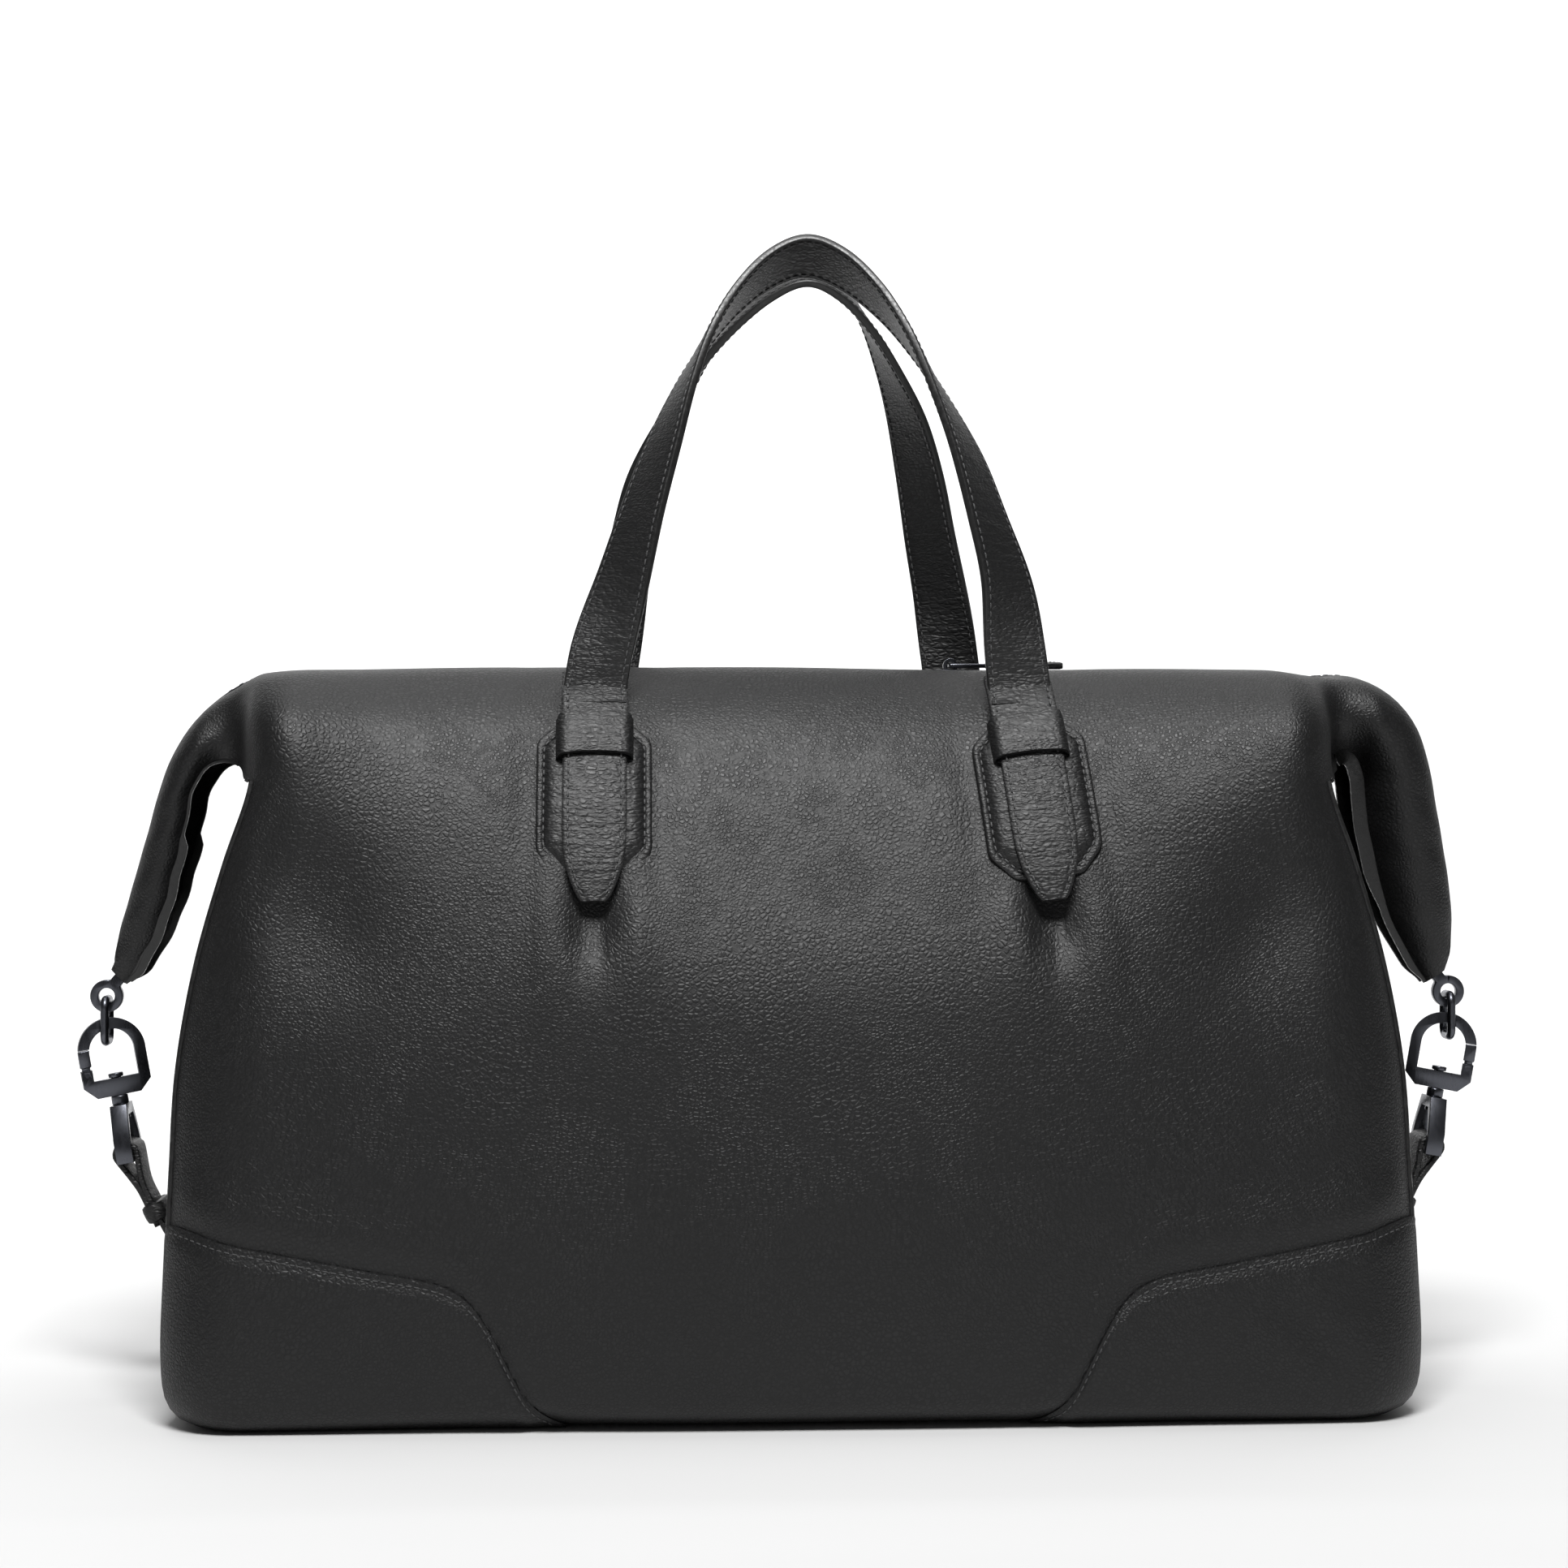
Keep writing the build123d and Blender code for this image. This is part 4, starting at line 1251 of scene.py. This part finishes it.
def solid_strip(name, side, face, grid, thickness, material):
    """A closed strip above the panel from its outer face's across, height and lift."""
    across, up, lift = grid
    outer, normal = on_foot(across, up, side, face, lift)
    drop = np.asarray(thickness) * np.ones(across.shape)
    inner = outer - normal * drop[..., None]
    rows, columns = across.shape
    verts = np.vstack([outer.reshape(-1, 3), inner.reshape(-1, 3)])
    base = rows * columns
    faces = grid_faces(rows, columns)
    faces += [tuple(base + k for k in reversed(face)) for face in faces]
    first_side = len(faces)
    loop = [i for i in range(columns)] + [(i + 1) * columns - 1 for i in range(1, rows)]
    loop += [(rows - 1) * columns + i for i in range(columns - 2, -1, -1)]
    loop += [i * columns for i in range(rows - 2, 0, -1)]
    for a, b in zip(loop, loop[1:] + loop[:1]):
        faces.append((b, a, base + a, base + b))
    piece = make_piece(name, facing(verts, face), faces, material, 50.0)
    paint_faces(piece, range(first_side, len(faces)), EDGE)
    return piece


def foot_stitches(name, side, face, line, lift):
    """Stitches along a line given across and up the handle's foot."""
    point, normal = on_foot(line[:, 0], line[:, 1], side, face, np.full(len(line), 0.0) + lift)
    point = point + normal * 0.22
    stitches = stitch_row(facing(point, face), facing(normal, face), STITCH_PITCH, 2.3, 0.42)
    threads = make_piece(name, *stitches, THREAD)
    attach(threads, BODY)


def build_foot(side, face):
    """Patch, tab, collar and keeper at one foot of a handle."""
    named = side if face == "front" else {"left": "right", "right": "left"}[side]
    tag = f"{face}_{named}"
    patch = stack(f"handle_pad_{tag}", side, face, patch_rings(), STRAP)
    paint_faces(patch, range(2 * len(PATCH_OUTLINE)), EDGE)
    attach(patch, BODY)
    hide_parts(f"handle_patch_{tag}")
    line = PATCH_MIDDLE + (PATCH_OUTLINE - PATCH_MIDDLE) * (1.0 - 3.0 / np.array([23.5, 32.5]))
    foot_stitches(f"pad_stitch_{tag}", side, face, np.vstack([line, line[:1]]), 1.45)

    seed = 1.3 if side == "left" else 2.9
    heights = np.concatenate([np.linspace(208.5, 232.0, 26), np.linspace(232.0, 297.0, 66)[1:]])
    halves = np.interp(heights, TAB_WIDTHS[:, 0], TAB_WIDTHS[:, 1])
    lifts = np.interp(heights, TAB_LIFT[:, 0], TAB_LIFT[:, 1]) + 2.2
    tab = solid_strip(f"handle_end_{tag}", side, face,
                      strip_grid(heights, halves, lifts, seed=seed), 2.4, STRAP)
    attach(tab, BODY)
    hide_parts(f"handle_tab_{tag}")
    down = heights[::-1]
    right = np.stack([np.interp(down, TAB_WIDTHS[:, 0], TAB_WIDTHS[:, 1]) - 2.3, down], axis=1)
    right = right[right[:, 1] > 211.2]
    line = np.vstack([right, (right * np.array([-1.0, 1.0]))[::-1]])
    along = np.interp(line[:, 1], TAB_LIFT[:, 0], TAB_LIFT[:, 1]) + 2.2 + 0.05
    foot_stitches(f"end_stitch_{tag}", side, face, line, along)

    heights = np.linspace(281.5, 297.5, 17)
    bulge = 0.35 * np.sin(np.linspace(0.0, math.pi, 17))
    collar = strip_grid(heights, np.full(17, 13.7), 7.9 + bulge, seed=seed + 1, rough=0.04)
    wrap = solid_strip(f"handle_collar_{tag}", side, face, collar, 2.6, STRAP)
    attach(wrap, BODY)
    for sign, word in ((-1, "in"), (1, "out")):
        row = np.stack([np.full(8, sign * 11.3), np.linspace(282.5, 297.0, 8)], axis=1)
        foot_stitches(f"collar_stitch_{word}_{tag}", side, face, row, 8.25)

    heights = np.linspace(265.6, 281.2, 15)
    rise = 0.5 * np.sin(np.linspace(0.0, math.pi, 15)) ** 0.6
    share = np.linspace(-1.0, 1.0, 27)
    across = 15.9 * share[None, :] * np.ones((15, 1))
    up = heights[:, None] + 1.0 * (1 - share[None, :] ** 2) - 0.5
    lift = rise[:, None] + 4.4 + 5.6 * np.clip(1 - np.abs(share[None, :]) ** 9, 0, 1) ** 0.5
    lift = lift + 0.10 * creases(across * 1.0, up * 0.5, seed + 2)
    keeper = solid_strip(f"handle_loop_{tag}", side, face, (across, up, lift), 1.9, STRAP)
    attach(keeper, BODY)
    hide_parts(f"handle_keeper_{tag}")


# ---------------------------------------------------------------- handle straps

def strap_path(face, per_span=14):
    """Points and frames of a strap from the right collar, over the crown, to the left collar."""
    if face == "front":
        leans, turns = {"right": LEG[:, 3], "left": LEG[:, 3]}, {"right": LEG[:, 6], "left": LEG[:, 6]}
    else:
        leans, turns = {"right": -LEG[:, 5], "left": -LEG[:, 4]}, {"right": LEG[:, 6],
                                                                   "left": LEG[:, 7]}
    halves = {}
    for side, sign in (("right", 1.0), ("left", -1.0)):
        foot, _ = on_foot(np.zeros(2), np.array([285.0, 291.0]), side, face, np.full(2, 6.6))
        x = sign * LEG[:, 0] * FOOT_X[face] + HANDLE_SHIFT[face] + leans[side]
        rows = np.column_stack([x, LEG[:, 1:3], 90.0 - sign * (90.0 - turns[side])])
        halves[side] = np.vstack([np.column_stack([foot, np.full(2, 90.0 - sign * 90.0)]), rows])
    line = spline(np.vstack([halves["right"], halves["left"][::-1][1:]]), per_span)
    along = lengths(line)
    line = at(line, np.linspace(0.0, along[-1], int(along[-1] / 1.6)), along)
    points = line[:, :3]
    turn = np.radians(line[:, 3])
    tangent = unit(np.gradient(points, axis=0))
    tilt = math.radians(CROWN_TILT) * np.sin(turn) ** 2
    wide = np.stack([np.cos(turn), np.sin(turn) * np.cos(tilt), -np.sin(turn) * np.sin(tilt)], axis=1)
    wide = unit(wide - tangent * np.sum(wide * tangent, axis=1, keepdims=True))
    return points, wide, np.cross(wide, tangent)


def build_strap(face):
    """One twisted flat handle, stitched along both sides of both faces."""
    points, wide, normal = (facing(v, face) for v in strap_path(face))
    section = np.array(rounded_section(STRAP_WIDTH, STRAP_THICK, 0.7, 0.35, 3, 17))
    run = lengths(points)
    gap = STRAP_WIDTH / 2 - np.abs(section[:, 0])
    verts = []
    for k, place in enumerate(points):
        sign = np.sign(section[:, 1]) * (gap > 0.9)
        rough = 0.12 * creases(run[k], section[:, 0],
                               4.0 + np.sign(section[:, 1])) * smooth((gap - 2.6) / 2.0)
        groove = -0.22 * hump(gap, 2.3, 0.8)
        up = section[:, 1] + sign * (rough + groove)
        verts.append(place + wide[k] * section[:, :1] + normal[k] * up[:, None])
    count = len(section)
    faces = grid_faces(len(points), count, closed=True)
    faces += [tuple(range(count)), tuple(range((len(points) - 1) * count, len(points) * count))]
    strap = make_piece(f"strap_leather_{face}", np.vstack(verts), faces, STRAP, 50.0)
    rim = [j for j in range(count) if gap[j] < 0.72 and gap[(j + 1) % count] < 0.72]
    paint_faces(strap, [i * count + j for i in range(len(points) - 1) for j in rim], EDGE)
    rows = []
    for sign in (-1, 1):
        for up in (-1, 1):
            inset = sign * (STRAP_WIDTH / 2 - 2.3)
            line = points + wide * inset + normal * up * (STRAP_THICK / 2 + 0.02)
            rows.append(stitch_row(line[2:-2], normal[2:-2] * up, STITCH_PITCH, 2.5, 0.36))
    threads = make_piece(f"strap_stitch_{face}", *merged(rows), THREAD)
    for piece in (strap, threads):
        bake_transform(piece, BODY, f"handle_{face}", start=(0.0, 0.0, 0.296), end=(0.0, 0.0, 0.307))
    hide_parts(f"handle_strap_{face}")


for face in ("front", "back"):
    for side in ("left", "right"):
        build_foot(side, face)
    build_strap(face)


# ---------------------------------------------------------------- zip

def zip_teeth(line, up, pitch=2.6):
    """Interlocked metal teeth along a line: small bevelled blocks that reach across by turns."""
    along = lengths(line)
    count = int(along[-1] / pitch)
    table = np.hstack([line, up])
    half = np.array([(-0.82, -0.5), (0.82, -0.5), (0.95, 0.0), (0.82, 0.75), (-0.82, 0.75),
                     (-0.95, 0.0)])
    verts, faces = [], []
    for n in range(count):
        middle = (n + 0.5) * along[-1] / count
        ends = at(table, [middle - 0.5, middle, middle + 0.5], along)
        tangent = unit(ends[2, :3] - ends[0, :3])
        rise = unit(ends[1, 3:])
        side = np.cross(tangent, rise) * (1.0 if n % 2 else -1.0)
        start = len(verts)
        for reach, size in ((-0.9, 0.8), (-0.7, 1.0), (0.9, 1.0), (1.6, 1.12), (2.5, 1.12),
                            (2.8, 0.85)):
            for a, b in half * size:
                verts.append(ends[1, :3] + side * reach + tangent * a + rise * b)
        faces += grid_faces(6, 6, start, closed=True)
        faces += [tuple(start + k for k in range(6)), tuple(start + 30 + k for k in range(6))]
    return np.array(verts), faces


def flat_ribbon(line, up, low, high, thickness, steps=6):
    """A thin tape between two distances to the side of a line."""
    tangent = unit(np.gradient(line, axis=0))
    side = np.cross(tangent, up)
    places = np.linspace(low, high, steps)
    top = np.array([p + s * places[:, None] for p, s in zip(line, side)])
    verts, faces, normals = weld([top])
    return closed_sheet(verts + normals * thickness / 2, faces[0], normals, thickness)


def build_zip():
    """The straight zip over the mouth, and its continuation down each wing."""
    straight = np.stack([np.linspace(-211.0, 211.0, 160), np.zeros(160), np.full(160, 302.4)], axis=1)
    upright = np.tile([0.0, 0.0, 1.0], (160, 1))
    for word, sign in (("front", 1.0), ("back", -1.0)):
        low, high = sorted((sign * 1.6, sign * 14.0))
        tape = make_piece(f"zip_tape_cloth_{word}", *flat_ribbon(straight, upright, low, high, 0.8),
                          TAPE)
        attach(tape, BODY)
        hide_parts(f"zip_tape_{word}")
    chain = make_piece("zip_teeth", *zip_teeth(straight + [0.0, 0.0, 0.4], upright), METAL)
    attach(chain, BODY)
    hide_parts("zip_chain")
    for side in ("left", "right"):
        top = SHOULDERS[side][-1]
        line = np.stack([top[:, 0], 0 * top[:, 0], top[:, 2]], axis=1)
        line = resample(np.vstack([[(212.0, 0.0, 303.0)], line[1:]]), 110)[:-4]
        tangent = unit(np.gradient(line, axis=0))
        up = np.stack([-tangent[:, 2], 0 * tangent[:, 0], tangent[:, 0]], axis=1)
        here, rise = at_side(line - up * 0.7, side), at_side(up, side)
        tape = make_piece(f"wing_zip_tape_{side}", *flat_ribbon(here, rise, -8.6, 8.6, 0.8, 12), TAPE)
        teeth = make_piece(f"wing_zip_teeth_{side}", *zip_teeth(here + rise * 0.4, rise), METAL)
        for piece, kind in ((tape, "zip_tape"), (teeth, "dark_metal")):
            blend_wing(piece, side)
        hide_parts(f"wing_zip_{side}")


# ---------------------------------------------------------------- hardware

def soften(node, name, width, material, segments=3):
    """A CAD part with its sharp edges rounded over."""
    source = frame["nodes"][node]
    build = bmesh.new()
    build.from_mesh(source.data)
    bmesh.ops.remove_doubles(build, verts=build.verts, dist=2e-6)
    bmesh.ops.dissolve_limit(build, angle_limit=math.radians(1.5), verts=build.verts, edges=build.edges)
    mesh = bpy.data.meshes.new(name)
    build.to_mesh(mesh)
    build.free()
    piece = bpy.data.objects.new(name, mesh)
    bpy.context.scene.collection.objects.link(piece)
    bevel = piece.modifiers.new("round", "BEVEL")
    bevel.width = width * MM
    bevel.segments = segments
    bevel.limit_method = "ANGLE"
    bevel.angle_limit = math.radians(40)
    bevel.use_clamp_overlap = True
    applied = piece.evaluated_get(bpy.context.evaluated_depsgraph_get())
    piece.data = bpy.data.meshes.new_from_object(applied)
    piece.modifiers.clear()
    piece.data.materials.clear()
    piece.data.materials.append(material)
    piece.data.polygons.foreach_set("use_smooth", [True] * len(piece.data.polygons))
    piece.data.set_sharp_from_angle(angle=math.radians(38))
    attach(piece, body_of(source)[0])
    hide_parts(node)
    return piece


def build_metal():
    """Rounded metal parts in place of the sharp ones, and the finish on the wires left as they are."""
    soften("zip_slider", "zip_slider_body", 0.5, METAL)
    soften("zip_pull_ring", "zip_pull_wire", 0.55, METAL)
    for side in ("left", "right"):
        soften(f"eyelet_{side}", f"eyelet_ring_{side}", 1.3, METAL, 4)
        soften(f"stirrup_{side}", f"stirrup_plate_{side}", 0.8, METAL)
        soften(f"swivel_post_{side}", f"swivel_rivet_{side}", 0.45, METAL)
        soften(f"carabiner_{side}", f"carabiner_body_{side}", 0.8, METAL)
        soften(f"gate_{side}", f"carabiner_gate_{side}", 0.5, METAL)
        for node in (f"link_{side}", f"gate_pin_{side}"):
            finish(node, METAL)
    finish("base_board", BOARD_FINISH)


def finish(node, material):
    """Gives a CAD part, whose shape is right, its own material."""
    mesh = frame["nodes"][node]
    for place in mesh.material_slots:
        place.material = material


def build_pull():
    """The zip's leather pull: two plies, stitched round, with a pointed end."""
    low, high = (np.array(c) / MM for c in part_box("zip_pull_tab"))
    middle = (low + high) / 2
    length = high[0] - low[0]
    stations = 30
    places = np.linspace(0.0, 1.0, stations)
    narrowing = 1 - 0.62 * smooth((places - 0.80) / 0.2)
    half = 5.6 * np.minimum(1.0, smooth(places / 0.05 + 0.55)) * narrowing
    rows = []
    section = rounded_section(2.0, 2.9, 0.7, 0.25, 3, 9)
    for k, p in enumerate(places):
        centre = np.array([low[0] + 0.3 + p * (length - 0.6), 0.0, middle[2]])
        rows.append([centre + np.array([0.0, a * half[k], b * (1.0 - 0.18 * (k in (0, stations - 1)))])
                     for a, b in section])
    count = len(section)
    verts = np.array(rows).reshape(-1, 3)
    faces = grid_faces(stations, count, closed=True)
    faces += [tuple(range(count)), tuple(range((stations - 1) * count, stations * count))]
    pull = make_piece("zip_pull_leather", verts, faces, STRAP)
    edge = np.array([(low[0] + 1.8 + p * (length - 4.2), half[k] - 1.5, middle[2] + 1.55)
                     for k, p in enumerate(places)])
    line = np.vstack([edge, (edge * np.array([1.0, -1.0, 1.0]))[::-1]])
    threads = make_piece("zip_pull_stitch",
                         *stitch_row(line, np.tile([0.0, 0.0, 1.0], (len(line), 1)), 2.4, 1.7, 0.24),
                         THREAD)
    for piece in (pull, threads):
        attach(piece, "zip_pull")
    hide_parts("zip_pull_tab")


# ---------------------------------------------------------------- side straps

def band_loop(centre, along, across, normal, half_across, half_thick, tall, thick, corner=1.6):
    """A closed leather loop round a strap."""
    path = []
    for cx, cy, first in ((1, 1, 0), (-1, 1, 90), (-1, -1, 180), (1, -1, 270)):
        for turn in np.radians(np.linspace(first, first + 90, 5)):
            path.append((cx * (half_across - corner) + corner * math.cos(turn),
                         cy * (half_thick - corner) + corner * math.sin(turn), math.cos(turn),
                         math.sin(turn)))
    profile = [(-0.5, 0.15), (-0.42, 0.8), (-0.2, 1.0), (0.2, 1.0), (0.42, 0.8), (0.5, 0.15),
               (0.45, 0.0), (-0.45, 0.0)]
    verts = []
    for x, y, out_x, out_y in path:
        for run, rise in profile:
            verts.append(centre + along * run * tall + across * (x + out_x * rise * thick)
                         + normal * (y + out_y * rise * thick))
    count, sides = len(path), len(profile)
    faces = []
    for i in range(count):
        j = (i + 1) % count
        for k in range(sides):
            m = (k + 1) % sides
            faces.append((i * sides + k, i * sides + m, j * sides + m, j * sides + k))
    return np.array(verts), faces


def build_side_straps():
    """The strap sewn low on each gusset: up, round the stirrup's bar and back under its keeper."""
    grid_low, _ = gusset_grids("right")
    middle = grid_low[:, grid_low.shape[1] // 2]
    on_gusset = [(float(np.interp(z, middle[:, 2], middle[:, 0])) + 1.5, z)
                 for z in (21.0, 30.0, 40.0, 49.0)]
    hinge = np.array([259.0, 53.0])
    bar = np.array([282.0, 99.0])
    run = unit(bar - hinge)
    side_way = np.array([run[1], -run[0]])
    ply = 1.35
    up = [tuple(hinge + run * d - side_way * ply + side_way * 0.9 * math.sin(d / 46.0 * math.pi))
          for d in (6, 17, 28, 38)]
    radius = 4.45
    first = math.atan2(-side_way[1], -side_way[0])
    turns = [first - math.radians(a) for a in (-8, 25, 60, 90, 120, 155, 188)]
    loop = [(bar[0] + radius * math.cos(a), bar[1] + radius * math.sin(a)) for a in turns]
    back_down = [tuple(bar - run * d + side_way * ply * k)
                 for d, k in ((9, 2.0), (16, 1.15), (24, 1.1), (33.5, 1.2))]
    line = spline(np.array([(x, 0.0, z) for x, z in on_gusset + up + loop + back_down]), 12)
    line = resample(line, 150)
    tangent = unit(np.gradient(line, axis=0))
    wide = np.tile([0.0, 1.0, 0.0], (len(line), 1))
    normal = np.cross(tangent, wide)
    section = rounded_section(20.0, 2.4, 0.6, 0.2, 3, 9)
    verts, faces = ribbon(line, normal, wide, section)
    rows = []
    for sign in (-1, 1):
        for lift in (-1, 1):
            edge = line + wide * sign * 8.0 + normal * lift * 1.22
            rows.append(stitch_row(edge[2:46], normal[2:46] * lift, *FINE_STITCH))
    centre = bar - run * 27.5
    loop_at = (np.array([centre[0], 0.0, centre[1]]), np.array([run[0], 0.0, run[1]]),
               np.array([0.0, 1.0, 0.0]),
               np.array([side_way[0], 0.0, side_way[1]]))
    keeper = band_loop(*loop_at, 10.6, 3.0, 8.0, 1.8)
    for side in ("left", "right"):
        strap = make_piece(f"side_strap_leather_{side}", at_side(verts, side), faces, STRAP, 50.0)
        threads = merged(rows)
        stitches = make_piece(f"side_strap_stitch_{side}", at_side(threads[0], side), threads[1],
                              THREAD)
        sign = 1.0 if side == "right" else -1.0
        for piece in (strap, stitches):
            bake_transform(piece, BODY, f"side_strap_{side}", start=(sign * 0.257, 0.0, 0.049),
                     end=(sign * 0.262, 0.0, 0.058))
        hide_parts(f"side_anchor_{side}", f"side_strap_{side}")
        band = make_piece(f"side_strap_loop_{side}", at_side(keeper[0], side), keeper[1], STRAP)
        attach(band, f"side_strap_{side}")
        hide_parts(f"side_keeper_{side}")


build_zip()
build_metal()
build_pull()
build_side_straps()
